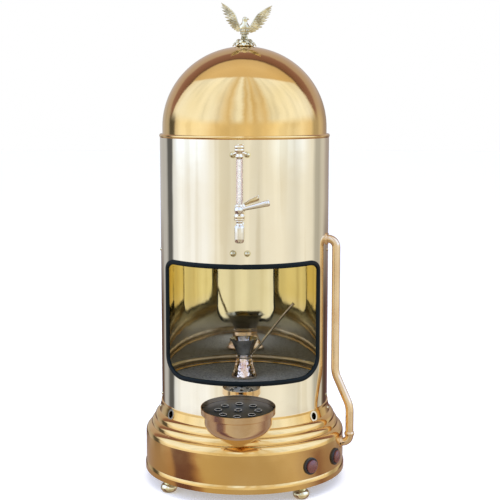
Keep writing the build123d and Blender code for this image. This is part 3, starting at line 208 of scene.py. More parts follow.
def make_world():
    """Tuned surroundings: draped panels in front, a dim rear and ceiling, a tan table below."""
    world = bpy.data.worlds.new("studio")
    bpy.context.scene.world = world
    world.use_nodes = True
    world.node_tree.nodes.clear()
    tree = Tree(world.node_tree)
    direction = tree.add("TexCoord").outputs["Generated"]
    parts = tree.add("SeparateXYZ", Vector=direction).outputs
    wander = tree.math("SUBTRACT", tree.noise(direction, 5.0, 2.0), 0.5)
    azimuth = tree.math("ARCTAN2", parts[0], tree.math("MULTIPLY", parts[1], -1.0))
    turns = tree.math("MULTIPLY_ADD", azimuth, 0.5 / math.pi, 0.5)
    turns = tree.math("MULTIPLY_ADD", wander, 0.014, turns)
    rise = tree.math("MULTIPLY_ADD", tree.math("ARCSINE", parts[2]), 1 / math.pi, 0.5)
    hang = tree.vector(tree.math("MULTIPLY", turns, 46.0), tree.math("MULTIPLY", rise, 3.0), 0.0)
    folds = tree.grey_ramp(tree.noise(hang, 1.0, 3.0), [(0.35, 0.88), (0.5, 1.0), (0.68, 1.06)])
    sway = tree.vector(tree.math("MULTIPLY", turns, 26.0), tree.math("MULTIPLY", rise, 9.0), 3.0)
    drapes = tree.ramp(tree.noise(sway, 1.0, 1.0), DRAPES)
    tint = tree.ramp(turns, WALL_TINT)
    walls = tree.multiply(tree.multiply(tree.ramp(turns, panel_stops(STUDIO_PANELS)), tint), drapes)
    glow = tree.grey_ramp(rise, [(0.478, 0.0), (0.489, 1.0)])
    walls = tree.multiply(walls, tree.mix(glow, PALE, tree.ramp(turns, colour_stops(GLOW))))
    shade = tree.ramp(turns, colour_stops(REAR_SHADE))
    foot = tree.grey_ramp(rise, [(0.445, 1.0), (0.472, 0.0)])
    walls = tree.multiply(walls, tree.mix(foot, PALE, shade))
    high = tree.multiply(tree.strong_ramp(turns, HIGH_PANELS), folds)
    facing = tree.math("MULTIPLY_ADD", parts[1], -0.5, 0.5)
    facing = tree.math("MULTIPLY_ADD", wander, 0.03, facing)
    overhead = tree.ramp(tree.math("MULTIPLY_ADD", parts[2], 0.078, facing), OVERHEAD)
    steep = tree.math("MAXIMUM", tree.math("SUBTRACT", parts[2], 0.65), 0.0)
    edge = tree.math("MULTIPLY_ADD", steep, -0.65, tree.math("MULTIPLY_ADD", parts[2], -0.19, facing))
    front = tree.grey_ramp(edge, [(0.205, 0.0), (0.228, 1.0)])
    above = tree.mix(front, overhead, high)
    upper = tree.mix(tree.grey_ramp(rise, [(0.515, 0.0), (0.575, 1.0)], True), walls, above)
    drop = tree.math("MAXIMUM", tree.math("SUBTRACT", rise, 0.402), -0.012)
    slant = tree.math("MULTIPLY_ADD", drop, 2.5, turns)
    table = tree.ramp(slant, colour_stops(TABLE))
    surround = tree.mix(tree.grey_ramp(rise, [(0.406, 1.0), (0.417, 0.0)], True), upper, table)
    camera_ray = tree.add("LightPath").outputs["Is Camera Ray"]
    background = tree.add("Background", Color=tree.mix(camera_ray, surround, PALE))
    tree.add("OutputWorld", Surface=background.outputs[0])


def make_floor():
    bpy.ops.mesh.primitive_circle_add(vertices=96, radius=14, fill_type="NGON")
    floor = bpy.context.object
    floor.name = "floor"
    floor.visible_glossy = False
    material = bpy.data.materials.new("floor")
    material.use_nodes = True
    shader = material.node_tree.nodes["Principled BSDF"]
    shader.inputs["Base Color"].default_value = (0.90, 0.895, 0.88, 1)
    shader.inputs["Roughness"].default_value = 0.9
    shader.inputs["Specular IOR Level"].default_value = 0.1
    shader.inputs["Emission Color"].default_value = (1, 0.99, 0.97, 1)
    shader.inputs["Emission Strength"].default_value = 0.30
    floor.data.materials.append(material)


def area_light(name, place, target, size, power, colour=(1, 1, 1), glossy=True):
    light = bpy.data.objects.new(name, bpy.data.lights.new(name, "AREA"))
    light.data.shape = "DISK"
    light.data.size = size
    light.data.energy = power
    light.data.color = colour
    light.location = place
    light.rotation_euler = (Vector(target) - Vector(place)).to_track_quat("-Z", "Y").to_euler()
    light.visible_glossy = glossy
    light.visible_camera = False
    bpy.context.collection.objects.link(light)


def make_lights():
    area_light("overhead", (0.3, -0.6, 2.6), (0, 0, 0.2), 2.4, 34, glossy=False)
    area_light("left_front", (-1.8, -1.9, 1.5), (0, 0, 0.4), 1.2, 10, glossy=False)


# ---------------------------------------------------------------- materials
def principled(name, metallic=0.0, **constants):
    material = bpy.data.materials.new(name)
    material.use_nodes = True
    shader = material.node_tree.nodes["Principled BSDF"]
    shader.inputs["Metallic"].default_value = metallic
    for key, value in constants.items():
        shader.inputs[key.replace("_", " ")].default_value = value
    return material, Tree(material.node_tree), shader


def object_place(tree):
    return tree.add("TexCoord").outputs["Object"]


def from_axis(tree, parts):
    """Distance from the Z axis."""
    squares = [tree.math("POWER", parts[k], 2.0) for k in (0, 1)]
    return tree.math("SQRT", tree.math("ADD", *squares))


def spin_place(tree):
    """A coordinate that runs along the outline of a turned piece, so its noise makes turning lines."""
    place = object_place(tree)
    parts = tree.add("SeparateXYZ", Vector=place).outputs
    radius = from_axis(tree, parts)
    along = tree.math("SUBTRACT", radius, parts[2])
    return tree.vector(along, tree.math("MULTIPLY", parts[0], 0.02), tree.math("MULTIPLY", parts[1], 0.02))


def spun_metal(name, light, dark, roughness, lines, ripple):
    """Turned sheet metal: tone drift, turning lines in gloss and relief, and faint ripples."""
    material, tree, shader = principled(name, 1.0, Anisotropic=0.35)
    place = object_place(tree)
    spin = spin_place(tree)
    drift = tree.noise(place, 9.0, 3.0)
    tone = tree.ramp(drift, [(0.35, dark), (0.62, light)])
    streak = tree.noise(spin, 520.0, 4.0, 0.65)
    tree.set(shader, "Base Color", tree.mix(tree.math("MULTIPLY", streak, 0.2), tone, dark))
    smudge = tree.noise(place, 22.0, 4.0, 0.6)
    gloss = tree.math("MULTIPLY_ADD", streak, 0.06, tree.math("MULTIPLY_ADD", smudge, 0.05, roughness - 0.05))
    tree.set(shader, "Roughness", gloss)
    tree.set(shader, "Tangent", tree.add("Tangent", {"direction_type": "RADIAL", "axis": "Z"}).outputs[0])
    fine = tree.add("Bump", Height=streak, Strength=0.35, Distance=lines)
    broad = tree.add("Bump", Height=tree.noise(place, 14.0, 2.0), Strength=0.5, Distance=ripple)
    tree.set(broad, "Normal", fine.outputs[0])
    tree.set(shader, "Normal", broad.outputs[0])
    return material


def polished_metal(name, light, dark, roughness, ripple, tarnish, scale):
    """Buffed metal: near mirror gloss, finger smudges, thin tarnish and a slightly uneven surface."""
    material, tree, shader = principled(name, 1.0)
    place = object_place(tree)
    drift = tree.noise(place, scale * 0.3, 4.0, 0.6)
    tarnished = tree.grey_ramp(drift, [(0.42, 0.0), (0.75, tarnish * 3)])
    tree.set(shader, "Base Color", tree.mix(tarnished, light, dark))
    smudge = tree.grey_ramp(tree.noise(place, scale, 5.0, 0.6), [(0.45, 0.0), (0.8, 1.0)])
    tree.set(shader, "Roughness", tree.math("MULTIPLY_ADD", smudge, 0.08, roughness))
    bump = tree.add("Bump", Height=tree.noise(place, scale * 0.35, 2.0), Strength=0.5, Distance=ripple)
    tree.set(shader, "Normal", bump.outputs[0])
    return material


def grainy(name, light, dark, roughness, scale, depth, metallic, **constants):
    """Moulded or gritty surface: fine grain in colour, gloss and relief."""
    material, tree, shader = principled(name, metallic, **constants)
    place = object_place(tree)
    grain = tree.noise(place, scale, 6.0, 0.7)
    tree.set(shader, "Base Color", tree.ramp(grain, [(0.3, dark), (0.7, light)]))
    tree.set(shader, "Roughness", tree.math("MULTIPLY_ADD", grain, 0.2, roughness - 0.1))
    bump = tree.add("Bump", Height=grain, Strength=0.6, Distance=depth)
    tree.set(shader, "Normal", bump.outputs[0])
    return material


# name: light colour, dark colour, roughness, ripple depth in metres, tarnish, noise scale
POLISHED = {
    "cast_brass": ((0.92, 0.84, 0.56), (0.24, 0.18, 0.07), 0.07, 0.0006, 0.34, 190.0),
    "pale_brass": ((0.94, 0.85, 0.64), (0.80, 0.66, 0.42), 0.12, 0.0002, 0.2, 120.0),
    "copper_brass": ((0.86, 0.66, 0.42), (0.70, 0.46, 0.24), 0.14, 0.0004, 0.25, 60.0),
    "pot_copper": ((0.84, 0.66, 0.54), (0.58, 0.36, 0.24), 0.14, 0.0012, 0.3, 200.0),
    "nickel": ((0.90, 0.85, 0.73), (0.70, 0.64, 0.52), 0.08, 0.0002, 0.2, 200.0),
    "steel": ((0.60, 0.59, 0.56), (0.42, 0.40, 0.37), 0.25, 0.0002, 0.3, 120.0),
    "stainless": ((0.66, 0.66, 0.65), (0.50, 0.50, 0.49), 0.30, 0.0002, 0.2, 100.0),
    "handle_brass": ((0.50, 0.40, 0.24), (0.26, 0.20, 0.13), 0.22, 0.0003, 0.4, 120.0),
    "dull_brass": ((0.56, 0.45, 0.27), (0.36, 0.28, 0.16), 0.32, 0.0002, 0.3, 90.0),
}
# name: light colour, dark colour, roughness, noise scale, grain depth in metres, metallic
GRAINY = {
    "black_rubber": ((0.004, 0.009, 0.010), (0.002, 0.004, 0.005), 0.40, 900.0, 0.00008, 0.0),
    "black_plastic": ((0.022, 0.018, 0.017), (0.012, 0.010, 0.010), 0.38, 1200.0, 0.00005, 0.0),
    "red_brown_plastic": ((0.16, 0.045, 0.032), (0.10, 0.026, 0.02), 0.25, 700.0, 0.00004, 0.0),
    "black_enamel": ((0.016, 0.018, 0.015), (0.008, 0.009, 0.008), 0.32, 500.0, 0.0001, 0.0),
    "board": ((0.62, 0.60, 0.54), (0.5, 0.48, 0.42), 0.9, 400.0, 0.0003, 0.0),
    "hearth_grit": ((0.62, 0.63, 0.58), (0.045, 0.048, 0.042), 0.85, 340.0, 0.0016, 0.0),
    "worn_rims": ((0.78, 0.72, 0.58), (0.42, 0.38, 0.30), 0.45, 700.0, 0.00005, 0.7),
}
GRAINY_SOCKETS = {
    "black_rubber": {"Specular_IOR_Level": 0.13},
    "red_brown_plastic": {"Coat_Weight": 0.5, "Coat_Roughness": 0.15},
    "black_enamel": {"Specular_IOR_Level": 0.3},
}


def make_materials():
    made = {name: polished_metal(name, *row) for name, row in POLISHED.items()}
    for name, row in GRAINY.items():
        made[name] = grainy(name, *row, **GRAINY_SOCKETS.get(name, {}))
    light, dark = (0.88, 0.61, 0.25), (0.82, 0.53, 0.18)
    made["spun_brass"] = spun_metal("spun_brass", light, dark, 0.075, 0.00001, 0.0008)
    made["polished_brass"] = body_brass()
    made["clear_glass"] = clear_glass()
    made["pot"] = pot_metal()
    return made


def body_brass():
    """The body's sheet: pale mirror polish outside, a yellower and duller face inside, greyed low down by
    painted shade.
    """
    material, tree, shader = principled("polished_brass", 1.0)
    place = object_place(tree)
    parts = tree.add("SeparateXYZ", Vector=place).outputs
    radius = from_axis(tree, parts)
    outside = tree.math("GREATER_THAN", radius, 0.1494)
    drift = tree.grey_ramp(tree.noise(place, 12.0, 4.0, 0.6), [(0.42, 0.0), (0.75, 0.4)])
    outer = tree.mix(drift, (0.92, 0.85, 0.68), (0.86, 0.76, 0.55))
    # Painted shade: below 0.245 to 0.275 m the inner face turns greyer, standing in for the darker low inside
    # of the body.
    low = tree.grey_ramp(parts[2], [(0.245, 1.0), (0.275, 0.0)])
    inner_unshaded = tree.mix(drift, (0.86, 0.76, 0.45), (0.78, 0.66, 0.34))
    inner_painted_shade = tree.mix(drift, (0.86, 0.78, 0.62), (0.72, 0.62, 0.46))
    inner = tree.mix(low, inner_unshaded, inner_painted_shade)
    tree.set(shader, "Base Color", tree.mix(outside, inner, outer))
    smudge = tree.grey_ramp(tree.noise(place, 40.0, 5.0, 0.6), [(0.45, 0.0), (0.8, 1.0)])
    gloss = tree.math("MULTIPLY_ADD", outside, -0.03, tree.math("MULTIPLY_ADD", smudge, 0.05, 0.05))
    tree.set(shader, "Roughness", gloss)
    waves = tree.noise(place, 14.0, 2.0)
    tree.set(shader, "Normal", tree.add("Bump", Height=waves, Strength=0.5, Distance=0.0006).outputs[0])
    return material


def clear_glass():
    """Gauge glass with a pale stripe down the middle of its front and back."""
    material, tree, shader = principled("clear_glass", 0.0, Roughness=0.06, IOR=1.30, Transmission_Weight=0.4)
    place = object_place(tree)
    across = tree.math("ABSOLUTE", tree.add("SeparateXYZ", Vector=place).outputs[0])
    # A pale stripe down the middle of the tube's front and back, where |x| is small.
    stripe = tree.grey_ramp(tree.math("MULTIPLY", across, 100.0), [(0.20, 1.0), (0.34, 0.0)])
    smear = tree.noise(place, 160.0, 3.0)
    glass = tree.ramp(smear, [(0.3, (0.66, 0.50, 0.40)), (0.7, (0.80, 0.66, 0.54))])
    pale_stripe = tree.ramp(smear, [(0.3, (0.90, 0.83, 0.68)), (0.7, (0.97, 0.92, 0.80))])
    tree.set(shader, "Base Color", tree.mix(stripe, glass, pale_stripe))
    return material


def pot_metal():
    """Hammered copper below the neck, tinned metal above it, coloured very dark as a painted reflection of
    dark surroundings.
    """
    material, tree, shader = principled("pot_metal", 1.0)
    place = object_place(tree)
    height = tree.add("SeparateXYZ", Vector=place).outputs[2]
    upper = tree.grey_ramp(tree.math("MULTIPLY", height, 4.0), [(0.868, 0.0), (0.880, 1.0)])
    drift = tree.noise(place, 60.0, 4.0)
    copper_stops = [(0.3, (0.66, 0.44, 0.35)), (0.55, (0.92, 0.74, 0.56)), (0.8, (0.96, 0.88, 0.72))]
    copper = tree.ramp(drift, copper_stops)
    # Tinned metal above the neck. Its very dark colour is a painted reflection, standing in for the dark
    # surroundings it mirrors.
    tin_painted_dark = tree.ramp(drift, [(0.3, (0.20, 0.18, 0.16)), (0.7, (0.50, 0.47, 0.42))])
    tree.set(shader, "Base Color", tree.mix(upper, copper, tin_painted_dark))
    tree.set(shader, "Roughness", tree.math("MULTIPLY_ADD", tree.noise(place, 300.0, 3.0), 0.12, 0.10))
    dents = tree.add("TexVoronoi", Vector=place, Scale=190.0).outputs["Distance"]
    dented = tree.math("MULTIPLY", dents, tree.math("SUBTRACT", 1.2, upper))
    tree.set(shader, "Normal", tree.add("Bump", Height=dented, Strength=0.7, Distance=0.0009).outputs[0])
    return material


def dress_nodes(materials):
    """Every CAD node takes the material of its slot in the record."""
    for row in frame["record"]["subparts"]:
        node = NODES[row["node"]]
        node.data.materials.clear()
        node.data.materials.append(materials[row["material_slot"]])


# ---------------------------------------------------------------- mesh helpers
def keep_piece(name, bm, body, material, stands_for=(), subdivide=0):
    """Turn a bmesh in millimetres into a piece that rides on a body."""
    bmesh.ops.recalc_face_normals(bm, faces=bm.faces)
    bmesh.ops.scale(bm, vec=(MM, MM, MM), verts=bm.verts)
    mesh = bpy.data.meshes.new(name)
    bm.to_mesh(mesh)
    bm.free()
    for face in mesh.polygons:
        face.use_smooth = True
    piece = bpy.data.objects.new(name, mesh)
    bpy.context.collection.objects.link(piece)
    mesh.materials.append(material)
    if subdivide:
        modifier = piece.modifiers.new("round", "SUBSURF")
        modifier.levels = subdivide
        modifier.render_levels = subdivide
    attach(piece, body)
    if stands_for:
        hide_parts(*stands_for)
    return piece


def add_rings(bm, rings, closed=True, cap_ends=False):
    """Skin a list of rings of points; closed joins each ring's last point to its first."""
    made = [[bm.verts.new(point) for point in ring] for ring in rings]
    for low, high in zip(made, made[1:]):
        count = len(low)
        for k in range(count if closed else count - 1):
            after = (k + 1) % count
            bm.faces.new((low[k], low[after], high[after], high[k]))
    if cap_ends:
        bm.faces.new(made[0])
        bm.faces.new(made[-1])
    return made


def lathe(bm, profile, segments=64, place=None, wobble=None):
    """Turn a profile of (radius, height) about Z; wobble(turn, point) may shift a point."""
    rings = []
    for radius, height in profile:
        ring = []
        for k in range(segments):
            turn = 2 * math.pi * k / segments
            point = Vector((radius * math.cos(turn), radius * math.sin(turn), height))
            if wobble:
                point = wobble(turn, point)
            ring.append(place @ point if place else point)
        rings.append(ring)
    add_rings(bm, rings, cap_ends=True)


def arc_profile(start, middle, end, steps):
    """Points of a quadratic curve through a middle point, from start to end."""
    points = []
    for k in range(steps + 1):
        t = k / steps
        control = [2 * m - 0.5 * (s + e) for s, m, e in zip(start, middle, end)]
        points.append(tuple((1 - t) ** 2 * s + 2 * t * (1 - t) * c + t * t * e
                            for s, c, e in zip(start, control, end)))
    return points


def sweep(bm, points, section, closed=False, up=None):
    """Sweep a section of (side, out) offsets along points; up gives the out direction at a point."""
    rings = []
    count = len(points)
    for k, point in enumerate(points):
        before = points[k - 1] if closed or k else points[k]
        after = points[(k + 1) % count] if closed or k < count - 1 else points[k]
        along = (after - before).normalized()
        out = up(k, point).normalized() if up else Vector((0, 0, 1))
        side = along.cross(out).normalized()
        out = side.cross(along).normalized()
        rings.append([point + side * s + out * o for s, o in section(k)])
    if closed:
        rings.append(rings[0])
    add_rings(bm, rings, cap_ends=not closed)
    bmesh.ops.remove_doubles(bm, verts=bm.verts, dist=0.0001)


def round_section(radius, count=12, flatten=1.0):
    turns = [2 * math.pi * k / count for k in range(count)]
    return [(radius * math.cos(t), radius * flatten * math.sin(t)) for t in turns]


def smooth_path(points, steps):
    """Catmull-Rom points through the given points."""
    padded = [points[0] * 2 - points[1], *points, points[-1] * 2 - points[-2]]
    path = []
    for k in range(1, len(padded) - 2):
        p0, p1, p2, p3 = padded[k - 1:k + 3]
        for j in range(steps):
            t = j / steps
            path.append(0.5 * ((2 * p1) + (p2 - p0) * t + (2 * p0 - 5 * p1 + 4 * p2 - p3) * t * t
                               + (3 * p1 - p0 - 3 * p2 + p3) * t * t * t))
    path.append(points[-1])
    return path


# ---------------------------------------------------------------- window edging
# From here on places and sizes are in millimetres and repeat those of the CAD nodes.
SHELL_R = 150.0
WINDOW_HALF = 131.95
WINDOW_LOW = 205.6
WINDOW_HIGH = 406.2
HIGH_CORNER = 15
LOW_CORNER = 32


def window_outline():
    """Points of the rounded window outline, wrapped on the body, clockwise from the top middle."""
    corners = (
        (WINDOW_HALF - HIGH_CORNER, WINDOW_HIGH - HIGH_CORNER, HIGH_CORNER, 90),
        (WINDOW_HALF - LOW_CORNER, WINDOW_LOW + LOW_CORNER, LOW_CORNER, 0),
        (-WINDOW_HALF + LOW_CORNER, WINDOW_LOW + LOW_CORNER, LOW_CORNER, -90),
        (-WINDOW_HALF + HIGH_CORNER, WINDOW_HIGH - HIGH_CORNER, HIGH_CORNER, -180),
    )
    flat = [(0.0, WINDOW_HIGH)]
    for x, z, radius, start in corners:
        for k in range(13):
            turn = math.radians(start - 90 * k / 12)
            flat.append((x + radius * math.cos(turn), z + radius * math.sin(turn)))
    points = []
    flat.append(flat[0])
    for (x0, z0), (x1, z1) in zip(flat, flat[1:]):
        steps = max(1, round(math.hypot(x1 - x0, z1 - z0) / 6))
        for k in range(steps):
            x = x0 + (x1 - x0) * k / steps
            z = z0 + (z1 - z0) * k / steps
            points.append(Vector((x, -math.sqrt(SHELL_R ** 2 - x ** 2), z)))
    return points


def make_window_trim(material):
    bm = bmesh.new()
    points = window_outline()

    def section(k):
        nip = 0.86 if k == 0 else 1.0
        rows = []
        for j in range(16):
            turn = 2 * math.pi * j / 16
            side = math.copysign(abs(math.cos(turn)) ** 0.75, math.cos(turn)) * 4.4 * nip
            out = math.copysign(abs(math.sin(turn)) ** 0.75, math.sin(turn)) * 3.1 * nip - 0.3
            rows.append((side, out))
        return rows

    sweep(bm, points, section, closed=True, up=lambda k, p: Vector((p.x, p.y, 0)))
    keep_piece("window_edging", bm, "machine", material, ["window_trim"], subdivide=1)


# ---------------------------------------------------------------- finial
DOME_TOP = 777.5
LEFT_ARM = ((-5, 30), (-9, 35), (-13, 42), (-15.5, 52), (-21, 60), (-27, 65.5))
RIGHT_ARM = ((5, 27), (9, 31), (13.5, 38), (17.5, 45.5), (23.5, 54), (31, 60))
LEFT_TIPS = ((-11, 24), (-19, 29), (-26, 35.5), (-33, 45), (-38, 57), (-40.5, 68), (-41.3, 75.5))
RIGHT_TIPS = ((11, 24), (21, 26.5), (31, 33.5), (39.5, 45), (46, 56), (48.5, 63.5), (48.8, 70))


def along(points, share):
    place = share * (len(points) - 1)
    k = min(int(place), len(points) - 2)
    t = place - k
    return tuple(a + (b - a) * t for a, b in zip(points[k], points[k + 1]))


def add_blade(bm, root, tip, width, thickness, bow=Vector((0, 0, 0)), face=Vector((0, -1, 0))):
    """A feather or leaf: a ridged blade from root to tip, bowed in its middle."""
    run = tip - root
    side = run.cross(face).normalized()
    front = side.cross(run).normalized()
    shares = (0.55, 0.9, 1.0, 0.95, 0.72, 0.16)
    rings = []
    for k, share in enumerate(shares):
        t = k / (len(shares) - 1)
        middle = root + run * t + bow * (4 * t * (1 - t))
        half = width * share / 2
        rings.append([
            middle - side * half,
            middle - side * half * 0.5 + front * thickness * 0.55,
            middle + front * thickness * 0.35,
            middle + front * thickness,
            middle + front * thickness * 0.35,
            middle + side * half * 0.5 + front * thickness * 0.55,
            middle + side * half,
            middle - front * thickness * 0.5,
        ])
    add_rings(bm, rings, cap_ends=True)


def add_wing(bm, arm, tips, feathers, rng):
    """Three overlapping layers of feathers that fan from the arm out to the wing's edge."""
    for layer, (reach, width, shift) in enumerate(((1.0, 7.4, 1.4), (0.62, 6.2, -0.2), (0.34, 5.4, -1.5))):
        for k in range(feathers - layer):
            share = (k + 0.5) / (feathers - layer)
            x0, z0 = along(arm, share * 0.97)
            x1, z1 = along(tips, min(1.0, share + 0.04))
            length = reach * rng.uniform(0.96, 1.03)
            lean = shift - 0.10 * k
            root = Vector((x0, lean, DOME_TOP + z0))
            end = Vector((x0 + (x1 - x0) * length, lean + 0.8, DOME_TOP + z0 + (z1 - z0) * length))
            add_blade(bm, root, end, width * (1.1 - 0.4 * share), 0.9, bow=Vector((0, -0.7, 0)))
    bone = smooth_path([Vector((x, -1.4, DOME_TOP + z)) for x, z in (*arm, tips[-1])], 4)
    count = len(bone)
    sweep(bm, bone, lambda k: round_section(2.4 - 1.7 * k / count, 10), up=lambda k, p: Vector((0, -1, 0)))


def make_finial(material):
    rng = random.Random(11)
    bm = bmesh.new()
    stations = (
        (11.5, 0.6, 1.8), (14, 0.6, 2.6), (18, 0.4, 4.2), (22, 0, 6.2), (27, -0.6, 8.6), (31, -0.9, 9.9),
        (35, -0.9, 9.7), (38, -0.7, 7.4), (40.8, -0.6, 4.7), (43.4, -0.9, 4.2), (46.4, -1.2, 4.8),
        (49.2, -1.2, 4.1), (51.0, -1.2, 2.2),
    )
    rings = []
    for height, y, radius in stations:
        ring = []
        for k in range(20):
            turn = 2 * math.pi * k / 20
            ruffle = 1 + 0.05 * math.sin(5 * turn + height)
            ring.append(Vector((radius * ruffle * math.cos(turn) + (1.0 if height > 42 else 0),
                                y + 0.78 * radius * ruffle * math.sin(turn), DOME_TOP + height)))
        rings.append(ring)
    add_rings(bm, rings, cap_ends=True)
    beak_points = ((4.4, -1.6, 47.6), (7.6, -1.8, 47.2), (8.8, -1.8, 45))
    beak = [Vector((x, y, DOME_TOP + z)) for x, y, z in beak_points]
    sweep(bm, beak, lambda k: round_section((1.9, 1.2, 0.35)[k], 8), up=lambda k, p: Vector((0, 1, 0)))
    for row in range(5):
        for k in range(7):
            turn = math.radians(-90 + 24 * (k - 3) + 12 * (row % 2))
            radius = (4.6, 6.9, 8.8, 8.6, 5.8)[row]
            height = 18 + 4.6 * row
            front = -0.7 + 0.78 * radius * math.sin(turn)
            root = Vector((radius * math.cos(turn), front, DOME_TOP + height + 3))
            out = Vector((math.cos(turn), math.sin(turn), 0))
            add_blade(bm, root, root + Vector((0, 0, -5.5)) + out * 0.5, 3.8, 0.7, face=out)
    for k in range(7):
        spread = k - 3
        root = Vector((0.7 * spread, 4.0, DOME_TOP + 20))
        end = Vector((2.5 * spread, 7.4 - 0.3 * abs(spread), DOME_TOP + 8.2 + 0.5 * abs(spread)))
        add_blade(bm, root, end, 3.4, 0.8, face=Vector((0, 1, 0)))
    add_wing(bm, LEFT_ARM, LEFT_TIPS, 12, rng)
    add_wing(bm, RIGHT_ARM, RIGHT_TIPS, 12, rng)
    for side in (-1, 1):
        leg = [Vector((3.2 * side, -2, DOME_TOP + 17)), Vector((3.8 * side, -3, DOME_TOP + 12)),
               Vector((4.4 * side, -4.2, DOME_TOP + 8.6))]
        sweep(bm, leg, lambda k: round_section((3.0, 2.2, 1.6)[k], 8), up=lambda k, p: Vector((0, -1, 0)))
        for toe in (-1, 0, 1):
            root = Vector((4.4 * side, -4.0, DOME_TOP + 9))
            tip = root + Vector((2.0 * toe, -3.2 + abs(toe), -1.6))
            add_blade(bm, root, tip, 1.5, 0.7, face=Vector((0, -0.4, 1)))
    keep_piece("eagle", bm, "dome", material, ["finial_bird"], subdivide=1)

    bm = bmesh.new()
    core = [(2.9, -11), (2.9, 0), (13, -0.6), (17.5, 0.4), (17.8, 2.6), (13, 5.0), (8.5, 6.4), (6.0, 8.6),
            (6.6, 10), (6.0, 12.0), (3, 12.6)]
    lathe(bm, core, 40, Matrix.Translation((0, 0, DOME_TOP)))
    layers = ((8, 20.8, -1.2, 13.5, 7.0), (8, 16.5, 3.0, 10.0, 10.0))
    for layer, (leaves, reach, low, width, high) in enumerate(layers):
        for k in range(leaves):
            turn = 2 * math.pi * (k + 0.5 * layer) / leaves
            out = Vector((math.cos(turn), math.sin(turn), 0))
            root = out * 5.5 + Vector((0, 0, DOME_TOP + high))
            add_blade(bm, root, out * reach + Vector((0, 0, DOME_TOP + low)), width, 2.6,
                      bow=out * 1.8 + Vector((0, 0, 3.4)), face=out * 0.5 + Vector((0, 0, 1)))
    keep_piece("finial_rosette", bm, "dome", material, ["finial_base"], subdivide=1)


# ---------------------------------------------------------------- coffee pot
POT_PLACE = Vector((-2, 22, 178))


def make_pot(materials):
    outer = [(21.5, 0.0), (23.4, 0.5), (24.0, 2.4)]
    outer += arc_profile((24.0, 2.4), (17.9, 20.9), (14.0, 37.4), 12)[1:]
    outer += [(14.7, 38.0), (15.3, 38.9), (15.3, 39.9), (14.7, 40.7), (14.1, 41.2)]
    outer += arc_profile((14.1, 41.2), (18.0, 56.0), (24.6, 71.4), 9)[1:]
    rim = [(25.0, 72.0), (24.6, 72.3), (23.9, 71.9)]
    inner = arc_profile((23.5, 71.0), (16.8, 56.0), (12.9, 41.0), 9)
    inner += arc_profile((12.9, 37.4), (16.7, 20.9), (22.6, 3.0), 8) + [(0.4, 2.7)]

    def wobble(turn, point):
        height = point.z
        lift = max(0.0, (height - 48) / 24)
        lip = math.exp(-(math.remainder(turn - math.radians(205), 2 * math.pi) / 0.30) ** 2)
        pinch = 0.35 * math.exp(-(math.remainder(turn - math.radians(20), 2 * math.pi) / 0.35) ** 2)
        wave = 0.035 * math.sin(6 * turn + 0.6) * lift
        grown = 1 + lift ** 2 * (0.13 * lip + 0.09 * pinch) + wave
        return Vector((point.x * grown, point.y * grown, height + lift ** 2 * (2.2 * lip - 1.2 * pinch)))

    place = Matrix.Translation(POT_PLACE)
    bm = bmesh.new()
    lathe(bm, outer + rim + inner, 96, place, wobble)
    keep_piece("pot_shell", bm, "pot", materials["pot"], ["cezve_pot"])

    bm = bmesh.new()
    points = [Vector(p) for p in ((11.8, 15.2, 221.6), (16.5, 13.2, 226.5), (24, 10.7, 236), (44, 3.6, 264),
                                  (68, -4.6, 296), (83, -9.2, 314.5), (88.6, -10.8, 321))]
    path = smooth_path(points, 5)
    count = len(path) - 1

    def section(k):
        t = k / count
        radius = 2.0 + 0.5 * t
        flatten = 1.0
        if t < 0.18:
            radius, flatten = 3.6 - 9.0 * t, 0.45 + 3 * t
        if t > 0.97:
            radius = 3.0
        return round_section(radius, 12, flatten)

    sweep(bm, path, section, up=lambda k, p: Vector((-0.3, -0.9, 0.3)))
    for shift in (0, 5.2):
        centre = Vector((14.0 + 0.62 * shift, 12.4 - 0.2 * shift, 223.6 + 0.78 * shift))
        rivet = Matrix.Translation(centre)
        bmesh.ops.create_uvsphere(bm, u_segments=12, v_segments=8, radius=1.7, matrix=rivet)
    keep_piece("pot_handle", bm, "pot", materials["handle_brass"], ["cezve_handle"])


# ---------------------------------------------------------------- hearth and strainer
HEARTH_R = 146.9
HEARTH_CENTRE_R = 0.4
HEARTH_TOP = 177.6
HEARTH_UNDER = 174.2
BOWL_PLACE = (0, -220, 185.5)
BOWL_TILT = 3.5
STRAINER_CIRCLE = 33


def make_hearth(material):
    bm = bmesh.new()
    pot = Vector((POT_PLACE.x, POT_PLACE.y, 0))
    rings = []
    for k in range(61):
        radius = HEARTH_CENTRE_R + (HEARTH_R - HEARTH_CENTRE_R) * k / 60
        ring = []
        for j in range(180):
            turn = 2 * math.pi * j / 180
            place = Vector((radius * math.cos(turn), radius * math.sin(turn), 0))
            lump = noise.noise(place * 0.35) * 0.45 + noise.noise(place * 0.09) * 0.35
            around_pot = math.exp(-((place - pot).length / 30) ** 4)
            ring.append(Vector((place.x, place.y, HEARTH_TOP + lump * (1 - around_pot) - 0.2)))
        rings.append(ring)
    edge = [Vector((p.x, p.y, HEARTH_UNDER)) for p in rings[-1]]
    add_rings(bm, rings + [edge], cap_ends=True)
    keep_piece("hearth_grit", bm, "machine", material, ["hearth_plate"])


def make_strainer_rims(material):
    place = Matrix.Translation(BOWL_PLACE) @ Matrix.Rotation(math.radians(BOWL_TILT), 4, "X")
    bm = bmesh.new()
    turns = [k * math.pi / 4 for k in range(8)]
    centres = [(0.0, 0.0)] + [(STRAINER_CIRCLE * math.cos(t), STRAINER_CIRCLE * math.sin(t)) for t in turns]
    for x, y in centres:
        ring = [(5.1, -5.95), (5.35, -5.62), (5.75, -5.5), (6.15, -5.62), (6.4, -5.95), (5.75, -6.1)]
        rings = [[place @ Vector((x + r * math.cos(t), y + r * math.sin(t), z)) for r, z in ring]
                 for t in [2 * math.pi * k / 32 for k in range(32)]]
        add_rings(bm, rings + [rings[0]])
    bmesh.ops.remove_doubles(bm, verts=bm.verts, dist=0.0001)
    keep_piece("strainer_rims", bm, "strainer", material)


